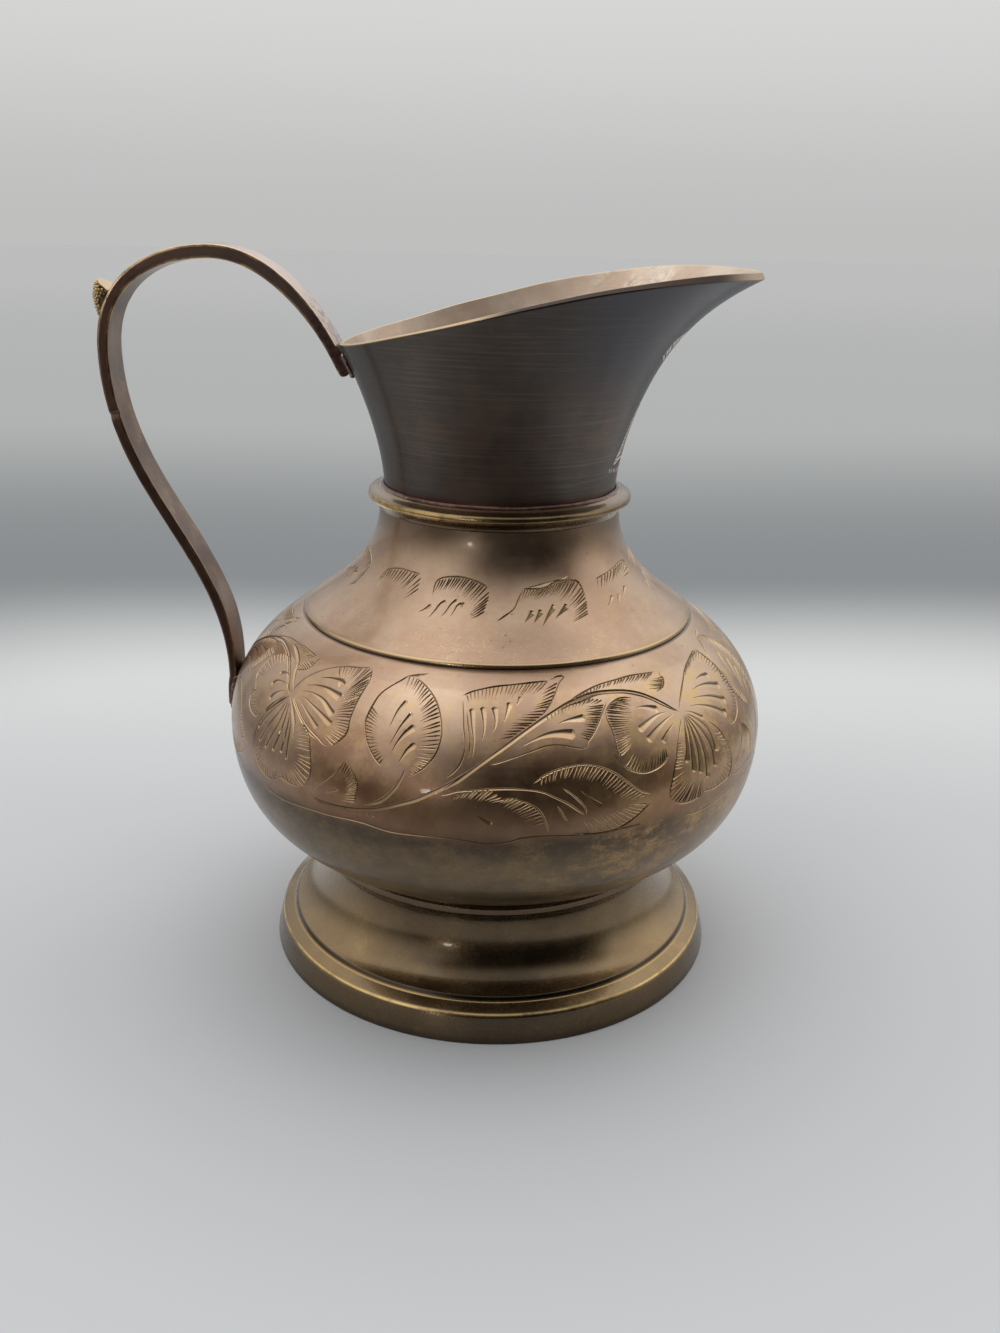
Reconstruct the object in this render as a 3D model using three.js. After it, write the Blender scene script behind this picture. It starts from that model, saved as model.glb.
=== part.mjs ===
// An engraved brass pitcher in the common Indian style: a cast foot, a two-part body,
// a collar ring, a flared neck that is cut at a slant and drawn out into a pouring lip,
// and a strap handle with a thumb stop. The pieces are brazed together and none moves.
// Millimetres, +Z up. It stands on z = 0, the lip points along +X and the handle along -X.
// The turned pieces share one upright axis, and at the end the whole pitcher is moved
// along X so that the middle of its outline lies over the origin.
import * as THREE from "three";

// Turned pieces: faces round the axis
const FACES_ROUND = 48;

// Clearance left by a brazed fit, and the free gap beside a fillet of braze
const FIT_GAP = 0.3;

// Foot: a flange that stands on the table, a step, and a hollow cove up to a lip
const FOOT_RADIUS = 65.8;
const FOOT_EDGE_INSET = 1.8;
const FOOT_EDGE_HEIGHT = 7.9;
const FLANGE_WIDTH = 3.5;
const FLANGE_RISE = 1.7;
const COVE_STEP_HEIGHT = 1.3;
const COVE_STEP_INSET = 0.7;
const WAIST_RADIUS = 50.2;
const WAIST_HEIGHT = 26.5;
const FOOT_HEIGHT = 33.4;
const FOOT_LIP_MARGIN = 1.1;
const FOOT_LIP_THICKNESS = 1.9;
const FOOT_WALL = 2.4;
const REST_RING_WIDTH = 4.6;

// Bowl: the lower body, from its flat base to the seam under the shoulder
const BASE_RADIUS = 51.6;
const BASE_STEP = 0.8;
const BOWL_HEIGHT = 68.7;
const BELLY_RADIUS = 76.25;
const BELLY_HEIGHT = 37.35;
const BOWL_WALL = 2.2;
const FLOOR_THICKNESS = 2.6;
const SEAM_RADIUS = 54.8;
const SEAM_WIDTH = 4.4;

// Shoulder: from the turned step over the seam up to the throat
const STEP_INSET = 0.3;
const STEP_HEIGHT = 1.0;
const SHOULDER_HEIGHT = 29.1;
const THROAT_MARGIN = 1.4;
const SHOULDER_WALL = 2.1;
const SPIGOT_DEPTH = 2.4;

// Collar ring between shoulder and neck
const COLLAR_PROJECTION = 4.45;
const COLLAR_HEIGHT = 5.8;
const COLLAR_EDGE_HEIGHT = 3.6;
const COLLAR_EDGE_RADIUS = 1.3;
const COLLAR_FOOT_WIDTH = 3.6;
const COLLAR_LEDGE = 0.9;
const SOCKET_DEPTH = 2.5;

// Neck: round at the collar, flared, its mouth cut at a slant and drawn into a lip
const NECK_RADIUS = 31.9;
const NECK_WALL = 2.1;
const NECK_BACK_HEIGHT = 37.0;
const NECK_LIP_HEIGHT = 55.8;
const MOUTH_BACK_REACH = 43.3;
const MOUTH_LIP_REACH = 67.4;
const LIP_SHARPNESS = 4.3;
const FLARE_POWER = 1.62;
const LIP_CURL_POWER = 6;
const SIDE_PINCH_POWER = 1.5;
const MOUTH_BACK_SLOPE = 0.25;
const MOUTH_LIP_SLOPE = -0.07;

// Strap handle: brazed to the belly and to the back of the neck
const STRAP_WIDTH = 12.0;
const STRAP_THICKNESS = 2.0;
const STRAP_TIP_THICKNESS = 1.2;
const STRAP_ARCH_THICKNESS = 2.7;
const STRAP_EDGE_ROUND = 0.35;
const STRAP_SEAT_DROP = 32.0;
const STRAP_SEAT_LENGTH = 9.5;
const HANDLE_OUTREACH = 30.4;
const HANDLE_REACH_HEIGHT = 67.7;
const HANDLE_RISE = 23.0;
const HANDLE_CROWN_BACK = 33.0;
const STRAP_TOP_SEAT_LENGTH = 7.6;
const STRAP_BELOW_RIM = 0.6;
const STRAP_LANDING_PULL = 5;

// Thumb stop on the outer face of the strap
const STOP_LENGTH = 8.6;
const STOP_REACH = 5.1;
const STOP_WIDTH = 10.4;
const STOP_TIP_REACH = 0.6;
const STOP_TIP_WIDTH = 2.2;
const STOP_TOP_BELOW_CROWN = 11.6;

// Brazing metal: round beads beside the strap's ends, and fillets in the turned joints
const BEAD_RADIUS = 0.6;
const UPPER_BEAD_LENGTH = 5.0;
const FOOT_FILLET_WIDTH = 0.7;
const FOOT_FILLET_HEIGHT = 0.55;
const SEAM_FILLET_WIDTH = 2.0;
const SEAM_FILLET_HEIGHT = 1.6;
const SEAM_FILLET_DROP = 2.1;
const COLLAR_FILLET_WIDTH = 0.9;
const COLLAR_FILLET_HEIGHT = 1.0;

// Shapes of the section curves: how far a curve's handle reaches at its start and at
// its end, as shares of the curve's width and of its height
const COVE_START = [0.62, 0.16];
const COVE_END = [0, 0.5];
const FOOT_LIP_START = [0, 0.5];
const FOOT_LIP_END = [0.5, 0];
const LOWER_BELLY_START = [0.329, 0.134];
const LOWER_BELLY_END = [0, 0.72];
const UPPER_BELLY_START = [0, 0.418];
const UPPER_BELLY_END = [0.615, 0.239];
const SHOULDER_START = [0.382, 0.203];
const SHOULDER_END = [0, 0.509];
const SWEEP_START = [0, 0.407];
const SWEEP_END = [0, 0.424];
const ARCH_START = [0, 0.95];
const ARCH_END = [0.185, 0];
const DESCENT_START = [0.557, 0];

// Heights of the joints above the table
const seamZ = FOOT_HEIGHT + BOWL_HEIGHT;
const throatZ = seamZ + SHOULDER_HEIGHT;
const collarTopZ = throatZ + COLLAR_HEIGHT;
const neckEndZ = collarTopZ - SOCKET_DEPTH;

// Radii that follow from the pieces they fit
const footLipRadius = BASE_RADIUS + FOOT_LIP_MARGIN;
const stepRadius = SEAM_RADIUS - STEP_INSET;
const throatRadius = NECK_RADIUS + THROAT_MARGIN;
const collarRadius = NECK_RADIUS + COLLAR_PROJECTION;

const brass = (name, color, roughness) => {
  const material = new THREE.MeshStandardMaterial({ color, roughness, metalness: 1 });
  material.name = name;
  return material;
};
const footBrass = brass("foot_brass", 0x8a7650, 0.38);
const bodyBrass = brass("body_brass", 0xa88a6a, 0.36);
const neckBrass = brass("neck_brass", 0x5c5450, 0.42);
const strapBrass = brass("strap_brass", 0x7a675c, 0.45);
const castBrass = brass("cast_brass", 0xb8934e, 0.4);
const braze = brass("braze", 0xc0aba0, 0.5);

// A cubic curve in a section, where x is the radius and y the height
function cubic(start, end, startPull, endPull) {
  const from = new THREE.Vector2(...start);
  const to = new THREE.Vector2(...end);
  const size = to.clone().sub(from);
  const first = from.clone().add(new THREE.Vector2(...startPull).multiply(size));
  const second = to.clone().sub(new THREE.Vector2(...endPull).multiply(size));
  return new THREE.CubicBezierCurve(from, first, second, to);
}

// The place between low and high up to which isBelow holds
function lastPlace(low, high, isBelow) {
  let from = low;
  let to = high;
  for (let i = 0; i < 40; i += 1) {
    const middle = (from + to) / 2;
    if (isBelow(middle)) from = middle;
    else to = middle;
  }
  return from;
}

// The point at t on a section curve, moved by depth to the curve's left side
function pointBeside(curve, t, depth) {
  const point = curve.getPoint(t);
  const along = curve.getTangent(t);
  return new THREE.Vector2(point.x - along.y * depth, point.y + along.x * depth);
}

// Points along a section curve from t0 to t1, moved by depth to its left side
function stretch(curve, steps, depth = 0, t0 = 0, t1 = 1) {
  const points = [];
  for (let i = 0; i <= steps; i += 1) {
    points.push(pointBeside(curve, t0 + ((t1 - t0) * i) / steps, depth));
  }
  return points;
}

// A piece turned round the upright axis from an outline of radius and height
function turned(outline) {
  const points = outline.map((p) => (p.isVector2 ? p : new THREE.Vector2(p[0], p[1])));
  const isSolidOnAxis = points[0].x === 0;
  if (!isSolidOnAxis) points.push(points[0].clone());
  return new THREE.LatheGeometry(points, FACES_ROUND).rotateX(Math.PI / 2);
}

// A skin over rings of points. Rings run from first to last, and a ring's points turn
// anticlockwise seen from the last ring. A tube's last ring joins its first one, and
// any other skin is closed at both ends.
function skin(rings, isTube) {
  const count = rings[0].length;
  const positions = rings.flat().flatMap((p) => [p.x, p.y, p.z]);
  const faces = [];
  const bands = isTube ? rings.length : rings.length - 1;
  for (let r = 0; r < bands; r += 1) {
    const low = r * count;
    const high = ((r + 1) % rings.length) * count;
    for (let i = 0; i < count; i += 1) {
      const j = (i + 1) % count;
      faces.push(low + i, low + j, high + j, low + i, high + j, high + i);
    }
  }
  if (!isTube) {
    const last = (rings.length - 1) * count;
    for (let i = 1; i < count - 1; i += 1) {
      faces.push(0, i + 1, i, last, last + i, last + i + 1);
    }
  }
  const geometry = new THREE.BufferGeometry();
  geometry.setAttribute("position", new THREE.Float32BufferAttribute(positions, 3));
  geometry.setIndex(faces);
  geometry.computeVertexNormals();
  return geometry;
}

// Foot

const flangeEdgeRadius = FOOT_RADIUS - FOOT_EDGE_INSET;
const stepFootRadius = flangeEdgeRadius - FLANGE_WIDTH;
const stepFootZ = FOOT_EDGE_HEIGHT + FLANGE_RISE;
const coveRadius = stepFootRadius - COVE_STEP_INSET;
const coveZ = stepFootZ + COVE_STEP_HEIGHT;

function makeFoot() {
  const waist = [WAIST_RADIUS, WAIST_HEIGHT];
  const cove = cubic([coveRadius, coveZ], waist, COVE_START, COVE_END);
  const lip = [footLipRadius, FOOT_HEIGHT - FOOT_LIP_THICKNESS];
  const flare = cubic(waist, lip, FOOT_LIP_START, FOOT_LIP_END);
  const restInner = FOOT_RADIUS - REST_RING_WIDTH;
  const underCove = stretch(cove, 5, FOOT_WALL).reverse();
  return turned([
    [FOOT_RADIUS, 0],
    [flangeEdgeRadius, FOOT_EDGE_HEIGHT],
    [stepFootRadius, stepFootZ],
    ...stretch(cove, 8),
    ...stretch(flare, 4).slice(1),
    [footLipRadius, FOOT_HEIGHT],
    [WAIST_RADIUS - FOOT_WALL, FOOT_HEIGHT],
    ...underCove,
    [restInner, FOOT_EDGE_HEIGHT - FOOT_WALL],
    [restInner, 0],
  ]);
}

// Bowl

const bellyZ = FOOT_HEIGHT + BELLY_HEIGHT;
const widest = [BELLY_RADIUS, bellyZ];
const lowerBelly = cubic(
  [BASE_RADIUS, FOOT_HEIGHT + BASE_STEP],
  widest,
  LOWER_BELLY_START,
  LOWER_BELLY_END,
);
const upperBelly = cubic(
  widest,
  [SEAM_RADIUS, seamZ],
  UPPER_BELLY_START,
  UPPER_BELLY_END,
);

function makeBowl() {
  const inside = [
    ...stretch(lowerBelly, 6, BOWL_WALL),
    ...stretch(upperBelly, 4, BOWL_WALL).slice(1),
  ].reverse();
  return turned([
    [0, FOOT_HEIGHT],
    [BASE_RADIUS, FOOT_HEIGHT],
    ...stretch(lowerBelly, 9),
    ...stretch(upperBelly, 7).slice(1),
    [SEAM_RADIUS - SEAM_WIDTH, seamZ],
    ...inside,
    [0, FOOT_HEIGHT + FLOOR_THICKNESS],
  ]);
}

// Radius of the belly's outside at a height above its widest place or below it
function bellyRadiusAt(z) {
  const curve = z < bellyZ ? lowerBelly : upperBelly;
  return curve.getPoint(lastPlace(0, 1, (t) => curve.getPoint(t).y < z)).x;
}

// Shoulder

function makeShoulder() {
  const slope = cubic(
    [stepRadius, seamZ + STEP_HEIGHT],
    [throatRadius, throatZ],
    SHOULDER_START,
    SHOULDER_END,
  );
  const spigotRadius = SEAM_RADIUS - SEAM_WIDTH - FIT_GAP;
  // The inside leaves the slope where it comes in over the spigot
  const spigotInner = spigotRadius - SHOULDER_WALL;
  const atSpigot = lastPlace(
    0,
    1,
    (t) => pointBeside(slope, t, SHOULDER_WALL).x > spigotInner,
  );
  const inside = stretch(slope, 5, SHOULDER_WALL, atSpigot, 1).reverse();
  return turned([
    [spigotRadius, seamZ],
    [stepRadius, seamZ],
    ...stretch(slope, 9),
    ...inside,
    [spigotInner, seamZ - SPIGOT_DEPTH],
    [spigotRadius, seamZ - SPIGOT_DEPTH],
  ]);
}

// Collar ring

const socketRadius = NECK_RADIUS + FIT_GAP;
const boreRadius = NECK_RADIUS - NECK_WALL;

function makeCollar() {
  const edge = [];
  const edgeCentre = collarRadius - COLLAR_EDGE_RADIUS;
  for (let degrees = -60; degrees <= 75; degrees += 27) {
    const angle = THREE.MathUtils.degToRad(degrees);
    edge.push([
      edgeCentre + COLLAR_EDGE_RADIUS * Math.cos(angle),
      throatZ + COLLAR_EDGE_HEIGHT + COLLAR_EDGE_RADIUS * Math.sin(angle),
    ]);
  }
  return turned([
    [boreRadius, throatZ],
    [boreRadius + COLLAR_FOOT_WIDTH, throatZ],
    ...edge,
    [socketRadius + COLLAR_LEDGE, collarTopZ],
    [socketRadius, collarTopZ],
    [socketRadius, neckEndZ],
    [boreRadius, neckEndZ],
  ]);
}

// Neck and pouring lip

const mouthLength = MOUTH_BACK_REACH + MOUTH_LIP_REACH;
const backFlare = MOUTH_BACK_REACH - NECK_RADIUS;

// Reach of the mouth's edge from the axis, at an angle round from the lip
function mouthReach(angle) {
  const towardsLip = (1 + Math.cos(angle)) / 2;
  const drawn = MOUTH_LIP_REACH - MOUTH_BACK_REACH;
  return MOUTH_BACK_REACH + drawn * towardsLip ** LIP_SHARPNESS;
}

// Height of the mouth's edge over the collar: it climbs from the back and levels out
// at the lip
function mouthHeight(angle) {
  const t = (mouthReach(angle) * Math.cos(angle) + MOUTH_BACK_REACH) / mouthLength;
  const third = mouthLength / 3;
  const a = NECK_BACK_HEIGHT;
  const b = NECK_BACK_HEIGHT + MOUTH_BACK_SLOPE * third;
  const c = NECK_LIP_HEIGHT - MOUTH_LIP_SLOPE * third;
  const d = NECK_LIP_HEIGHT;
  const s = 1 - t;
  return s ** 3 * a + 3 * s * s * t * b + 3 * s * t * t * c + t ** 3 * d;
}

// Radius of the neck's outside at an angle, part of the way from collar to mouth: one
// even flare all round, drawn out to the lip in front and pinched in at the sides
function neckRadiusAt(angle, part) {
  const height = mouthHeight(angle);
  const flareAt = (h) => backFlare * (h / NECK_BACK_HEIGHT) ** FLARE_POWER;
  const drawn = mouthReach(angle) - NECK_RADIUS - flareAt(height);
  const power = drawn > 0 ? LIP_CURL_POWER : SIDE_PINCH_POWER;
  return NECK_RADIUS + flareAt(height * part) + drawn * part ** power;
}

// A point on the neck, moved by depth in from its outside
function neckPoint(angle, part, depth) {
  const height = mouthHeight(angle);
  const small = 0.001;
  const before = Math.max(0, part - small);
  const rise = (part - before || small) * height;
  const after = before + rise / height;
  const spread = neckRadiusAt(angle, after) - neckRadiusAt(angle, before);
  const lean = Math.atan2(spread, rise);
  const radius = neckRadiusAt(angle, part) - depth * Math.cos(lean);
  return new THREE.Vector3(
    radius * Math.cos(angle),
    radius * Math.sin(angle),
    collarTopZ + height * part + depth * Math.sin(lean),
  );
}

function neckRing(part, depth) {
  const ring = [];
  for (let i = 0; i < FACES_ROUND; i += 1) {
    ring.push(neckPoint((i / FACES_ROUND) * 2 * Math.PI, part, depth));
  }
  return ring;
}

function makeNeck() {
  const rows = 11;
  const crowding = 1.3;
  const rings = [];
  // The rows lie closer together towards the lip, where the neck curls most
  const partOf = (row) => 1 - (1 - row / rows) ** crowding;
  const tail = (depth) => neckRing(0, depth).map((p) => p.setZ(neckEndZ));
  rings.push(tail(0));
  for (let row = 0; row <= rows; row += 1) rings.push(neckRing(partOf(row), 0));
  for (let row = rows; row >= 0; row -= 1) rings.push(neckRing(partOf(row), NECK_WALL));
  rings.push(tail(NECK_WALL));
  return skin(rings, true);
}

// Strap handle, drawn in the upright plane through the axis: x along X, y along Z

const strapEndZ = seamZ - STRAP_SEAT_DROP;
const seatTopZ = strapEndZ + STRAP_SEAT_LENGTH;
const crownZ = collarTopZ + NECK_BACK_HEIGHT + HANDLE_RISE;

// Middle line of the strap where it lies on the belly, at a height
function bellySeat(z, thickness) {
  return new THREE.Vector2(-(bellyRadiusAt(z) + FIT_GAP + thickness / 2), z);
}

// Middle line of the strap where it lies on the back of the neck, at a drop below the rim
function neckSeat(drop, thickness) {
  const part = 1 - drop / NECK_BACK_HEIGHT;
  const point = neckPoint(Math.PI, part, -(FIT_GAP + thickness / 2));
  return new THREE.Vector2(point.x, point.z);
}

const strapLine = (() => {
  const lowStart = bellySeat(strapEndZ, STRAP_TIP_THICKNESS);
  const lowMiddle = bellySeat(strapEndZ + STRAP_SEAT_LENGTH / 2, STRAP_THICKNESS);
  const lowEnd = bellySeat(seatTopZ, STRAP_THICKNESS);
  const reach = new THREE.Vector2(
    -(BELLY_RADIUS + HANDLE_OUTREACH),
    seamZ + HANDLE_REACH_HEIGHT,
  );
  const crown = new THREE.Vector2(-(MOUTH_BACK_REACH + HANDLE_CROWN_BACK), crownZ);
  const topStart = neckSeat(STRAP_BELOW_RIM, STRAP_ARCH_THICKNESS);
  const topEnd = neckSeat(STRAP_TOP_SEAT_LENGTH, STRAP_THICKNESS);
  const landing = topStart.clone().sub(topEnd).setLength(STRAP_LANDING_PULL);
  const descent = cubic(crown, topStart, DESCENT_START, [0, 0]);
  descent.v2.add(landing);
  const path = new THREE.CurvePath();
  path.add(new THREE.QuadraticBezierCurve(lowStart, lowMiddle, lowEnd));
  path.add(cubic(lowEnd, reach, SWEEP_START, SWEEP_END));
  path.add(cubic(reach, crown, ARCH_START, ARCH_END));
  path.add(descent);
  path.add(new THREE.LineCurve(topStart, topEnd));
  return path;
})();
const strapLength = strapLine.getLength();

// The crown, as a share of the strap's length: it ends the line's third stretch
const crownAt = strapLine.getCurveLengths()[2] / strapLength;

// Thickness of the strap: thin at the belly end, thickest over the arch
function strapThicknessAt(u) {
  const { lerp, smoothstep } = THREE.MathUtils;
  const body = lerp(STRAP_TIP_THICKNESS, STRAP_THICKNESS, smoothstep(u, 0, 0.05));
  const arch = smoothstep(u, 0.5, 0.72) * (1 - smoothstep(u, 0.82, 1));
  return lerp(body, STRAP_ARCH_THICKNESS, arch);
}

// A point beside the strap's middle line: side -1 is its outer face and 1 its inner
function strapEdge(u, side) {
  const point = strapLine.getPointAt(u);
  const along = strapLine.getTangentAt(u).normalize();
  const half = (side * strapThicknessAt(u)) / 2;
  return new THREE.Vector2(point.x + along.y * half, point.y - along.x * half);
}

function makeStrap() {
  const steps = 56;
  const outline = [];
  for (let i = 0; i <= steps; i += 1) outline.push(strapEdge(i / steps, 1));
  for (let i = steps; i >= 0; i -= 1) outline.push(strapEdge(i / steps, -1));
  const geometry = new THREE.ExtrudeGeometry(new THREE.Shape(outline), {
    depth: STRAP_WIDTH - 2 * STRAP_EDGE_ROUND,
    steps: 1,
    bevelEnabled: true,
    bevelThickness: STRAP_EDGE_ROUND,
    bevelSize: STRAP_EDGE_ROUND,
    bevelOffset: -STRAP_EDGE_ROUND,
    bevelSegments: 1,
  });
  return geometry.rotateX(Math.PI / 2).translate(0, STRAP_WIDTH / 2 - STRAP_EDGE_ROUND, 0);
}

// Thumb stop: a shell-shaped lug, pointed below, with a flat top

function makeThumbStop() {
  const topZ = crownZ - STOP_TOP_BELOW_CROWN;
  const top = lastPlace(0, crownAt, (u) => strapLine.getPointAt(u).y < topZ);
  const stations = 6;
  const rings = [];
  for (let i = 0; i <= stations; i += 1) {
    const grown = Math.sin(((i / stations) * Math.PI) / 2);
    const u = top - ((1 - i / stations) * STOP_LENGTH) / strapLength;
    const centre = strapLine.getPointAt(u);
    const along = strapLine.getTangentAt(u).normalize();
    const base = strapThicknessAt(u) / 2 + FIT_GAP;
    const reach = THREE.MathUtils.lerp(STOP_TIP_REACH, STOP_REACH, grown);
    const half = THREE.MathUtils.lerp(STOP_TIP_WIDTH, STOP_WIDTH, grown) / 2;
    const ring = [];
    for (let k = 0; k <= 8; k += 1) {
      const angle = (k / 8) * Math.PI;
      const out = base + reach * Math.sin(angle);
      ring.push(new THREE.Vector3(
        centre.x - along.y * out,
        half * Math.cos(angle),
        centre.y + along.x * out,
      ));
    }
    rings.push(ring);
  }
  return skin(rings, false);
}

// Brazing metal

// A three-cornered fillet round the axis, upright on its inner side and flat below
function fillet(inner, z, width, height) {
  return turned([
    [inner, z],
    [inner + width, z],
    [inner, z + height],
  ]);
}

function makeFootBraze() {
  const inner = BASE_RADIUS + FIT_GAP;
  return fillet(inner, FOOT_HEIGHT, FOOT_FILLET_WIDTH, FOOT_FILLET_HEIGHT);
}

function makeBodyBraze() {
  const z = seamZ - SEAM_FILLET_DROP;
  return fillet(SEAM_RADIUS - SEAM_WIDTH, z, SEAM_FILLET_WIDTH, SEAM_FILLET_HEIGHT);
}

function makeCollarBraze() {
  return fillet(socketRadius, collarTopZ, COLLAR_FILLET_WIDTH, COLLAR_FILLET_HEIGHT);
}

// A round bead laid along a line
function bead(points, steps) {
  const section = new THREE.Shape();
  section.absarc(0, 0, BEAD_RADIUS, 0, 2 * Math.PI, false);
  const path = new THREE.CatmullRomCurve3(points, false, "centripetal");
  return new THREE.ExtrudeGeometry(section, {
    steps,
    curveSegments: 3,
    bevelEnabled: false,
    extrudePath: path,
  });
}

// Places round a strap's end, as distances across it and up from the end: up one side,
// round both corners and up the other side
function roundStrapEnd(seatLength) {
  const side = STRAP_WIDTH / 2;
  const away = FIT_GAP + BEAD_RADIUS;
  const places = [seatLength, seatLength / 2, away].map((up) => [side + away, up]);
  for (const degrees of [0, 45, 90]) {
    const angle = THREE.MathUtils.degToRad(degrees);
    places.push([side + away * Math.cos(angle), -away * Math.sin(angle)]);
  }
  const mirrored = places.map(([across, up]) => [-across, up]).reverse();
  const middle = [0, -away];
  return [...places, middle, ...mirrored];
}

function makeLowerHandleBraze() {
  const clear = FIT_GAP + BEAD_RADIUS;
  const points = roundStrapEnd(STRAP_SEAT_LENGTH).map(([across, up]) => {
    const z = strapEndZ + up;
    const radius = bellyRadiusAt(z) + clear;
    return new THREE.Vector3(-Math.sqrt(radius * radius - across * across), across, z);
  });
  return bead(points, 44);
}

function makeUpperHandleBraze() {
  const clear = FIT_GAP + BEAD_RADIUS;
  const points = roundStrapEnd(UPPER_BEAD_LENGTH).map(([across, up]) => {
    const part = 1 - (STRAP_TOP_SEAT_LENGTH - up) / NECK_BACK_HEIGHT;
    const angle = Math.PI - Math.asin(across / neckRadiusAt(Math.PI, part));
    return neckPoint(angle, part, -clear);
  });
  return bead(points, 40);
}

function add(group, name, geometry, material) {
  const mesh = new THREE.Mesh(geometry, material);
  mesh.name = name;
  group.add(mesh);
}

const pitcher = new THREE.Group();
add(pitcher, "foot", makeFoot(), footBrass);
add(pitcher, "bowl", makeBowl(), bodyBrass);
add(pitcher, "shoulder", makeShoulder(), bodyBrass);
add(pitcher, "collar_ring", makeCollar(), footBrass);
add(pitcher, "neck_and_lip", makeNeck(), neckBrass);
add(pitcher, "handle_strap", makeStrap(), strapBrass);
add(pitcher, "thumb_stop", makeThumbStop(), castBrass);
add(pitcher, "foot_braze", makeFootBraze(), braze);
add(pitcher, "body_braze", makeBodyBraze(), braze);
add(pitcher, "collar_braze", makeCollarBraze(), braze);
add(pitcher, "handle_lower_braze", makeLowerHandleBraze(), braze);
add(pitcher, "handle_upper_braze", makeUpperHandleBraze(), braze);

// The middle of the outline along X goes over the origin
const outline = new THREE.Box3().setFromObject(pitcher);
pitcher.position.x = -(outline.min.x + outline.max.x) / 2;
pitcher.updateMatrixWorld(true);

export default pitcher;
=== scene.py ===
# Brass pitcher: turned foot, engraved bowl and shoulder, collar ring, neck drawn out to a
# pouring lip, and a strap handle with a thumb stop

import math
import random

import bmesh
import bpy
import numpy as np
from mathutils import Matrix, Vector
from mathutils.geometry import delaunay_2d_cdt


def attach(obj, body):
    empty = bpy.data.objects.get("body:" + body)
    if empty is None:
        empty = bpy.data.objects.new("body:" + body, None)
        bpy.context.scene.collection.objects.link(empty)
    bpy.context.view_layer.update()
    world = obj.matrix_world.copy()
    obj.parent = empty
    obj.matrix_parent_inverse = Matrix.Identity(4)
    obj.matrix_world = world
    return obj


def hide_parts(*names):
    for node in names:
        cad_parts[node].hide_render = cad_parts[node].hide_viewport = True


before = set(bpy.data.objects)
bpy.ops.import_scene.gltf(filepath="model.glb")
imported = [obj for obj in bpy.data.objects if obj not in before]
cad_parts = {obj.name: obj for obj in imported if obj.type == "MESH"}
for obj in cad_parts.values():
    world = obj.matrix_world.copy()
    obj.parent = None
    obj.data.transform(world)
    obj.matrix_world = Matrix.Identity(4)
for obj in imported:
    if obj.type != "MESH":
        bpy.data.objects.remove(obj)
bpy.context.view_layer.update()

# Lengths below are millimetres, measured from the vessel's own upright axis
MM = 0.001
AXIS_X = 16.491
COLUMNS = 192

# Foot
FOOT_RADIUS = 65.8
FOOT_EDGE = (64.0, 7.9)
FOOT_STEP = (60.5, 9.6)
COVE_FOOT = (59.8, 10.9)
WAIST = (50.2, 26.5)
FOOT_LIP_RADIUS = 52.7
FOOT_LIP = 31.5
FOOT_TOP = 33.4
FOOT_WALL = 2.4
REST_RING = 4.6

# Bowl and shoulder
BASE = (51.6, 34.2)
BELLY = (76.25, 70.75)
SEAM = (54.8, 102.1)
SEAM_INNER = 50.4
BOWL_WALL = 2.2
BOWL_FLOOR = 36.0
STEP = (54.5, 103.1)
THROAT = (33.3, 131.2)
SHOULDER_WALL = 2.1
SPIGOT_RADIUS = 50.1
SPIGOT_END = 99.7

# Collar ring
BORE = 29.8
SOCKET = 32.2
COLLAR_RADIUS = 36.35
COLLAR_BEAD = 1.3
COLLAR_FOOT = 131.2
COLLAR_TOP = 137.0
NECK_END = 134.5

# Neck and mouth
NECK_RADIUS = 31.9
NECK_WALL = 2.1
RIM_AT_BACK = 1.2
NECK_BACK_HEIGHT = 37.0
NECK_LIP_HEIGHT = 55.8
MOUTH_BACK = 43.3
MOUTH_LIP = 67.4
LIP_NARROW = 4.3
RIM_FALL = 1.3
FLARE_BEND = 1.62
LIP_BEND, PINCH_BEND = 6.0, 1.5
MOUTH_UNEVEN = 0.12

# The band of engraving on the neck's front, in its rows and columns, and its unrolled radius
NECK_ROWS = 57
MOTIF_ROWS = (3, 48)
MOTIF_REACH = 20
NECK_SCALE = 36.0

# Strap handle and thumb stop
STRAP_WIDTH = 12.0
STRAP_TIP = 1.2
STRAP_THIN = 2.0
STRAP_THICK = 2.7
STRAP_FULLER = 0.85
STRAP_DROP = 7.6
STRAP_END_Z = 70.1
STRAP_SEAT = 9.5
FIT_GAP = 0.3
REACH = (-106.65, 169.8)
CROWN = (-76.3, 197.0)
STOP_LENGTH = 8.6
STOP_REACH = 5.1
STOP_WIDTH = 10.4
STOP_DROP = 11.6
POINT_REACH, POINT_WIDTH = 0.6, 2.2
PEBBLE_ROOM = 0.34
NICK_AT, NICK_WIDE, NICK_DEPTH = 0.446, 0.0022, 0.75


# Curves of the section, as rows of radius and height


def bezier(t, a, b, c, d):
    s = 1 - t
    return s**3 * a + 3 * s * s * t * b + 3 * s * t * t * c + t**3 * d


def bow(t, a, b, c):
    return (1 - t) ** 2 * a + 2 * (1 - t) * t * b + t * t * c


def cubic(start, end, start_pull, end_pull, steps):
    """Points along a curve whose handles are shares of its span."""
    start, end = np.array(start, float), np.array(end, float)
    span = end - start
    first = start + np.array(start_pull) * span
    second = end - np.array(end_pull) * span
    return bezier(np.linspace(0, 1, steps + 1)[:, None], start, first, second, end)


def unit(rows):
    return rows / np.linalg.norm(rows, axis=1)[:, None]


def beside(points, depth):
    """The same curve moved by depth to its left side."""
    along = unit(np.gradient(points, axis=0))
    return points + np.column_stack([-along[:, 1], along[:, 0]]) * depth


def arc_lengths(points):
    steps = np.linalg.norm(np.diff(points, axis=0), axis=1)
    return np.concatenate([[0.0], np.cumsum(steps)])


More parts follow.
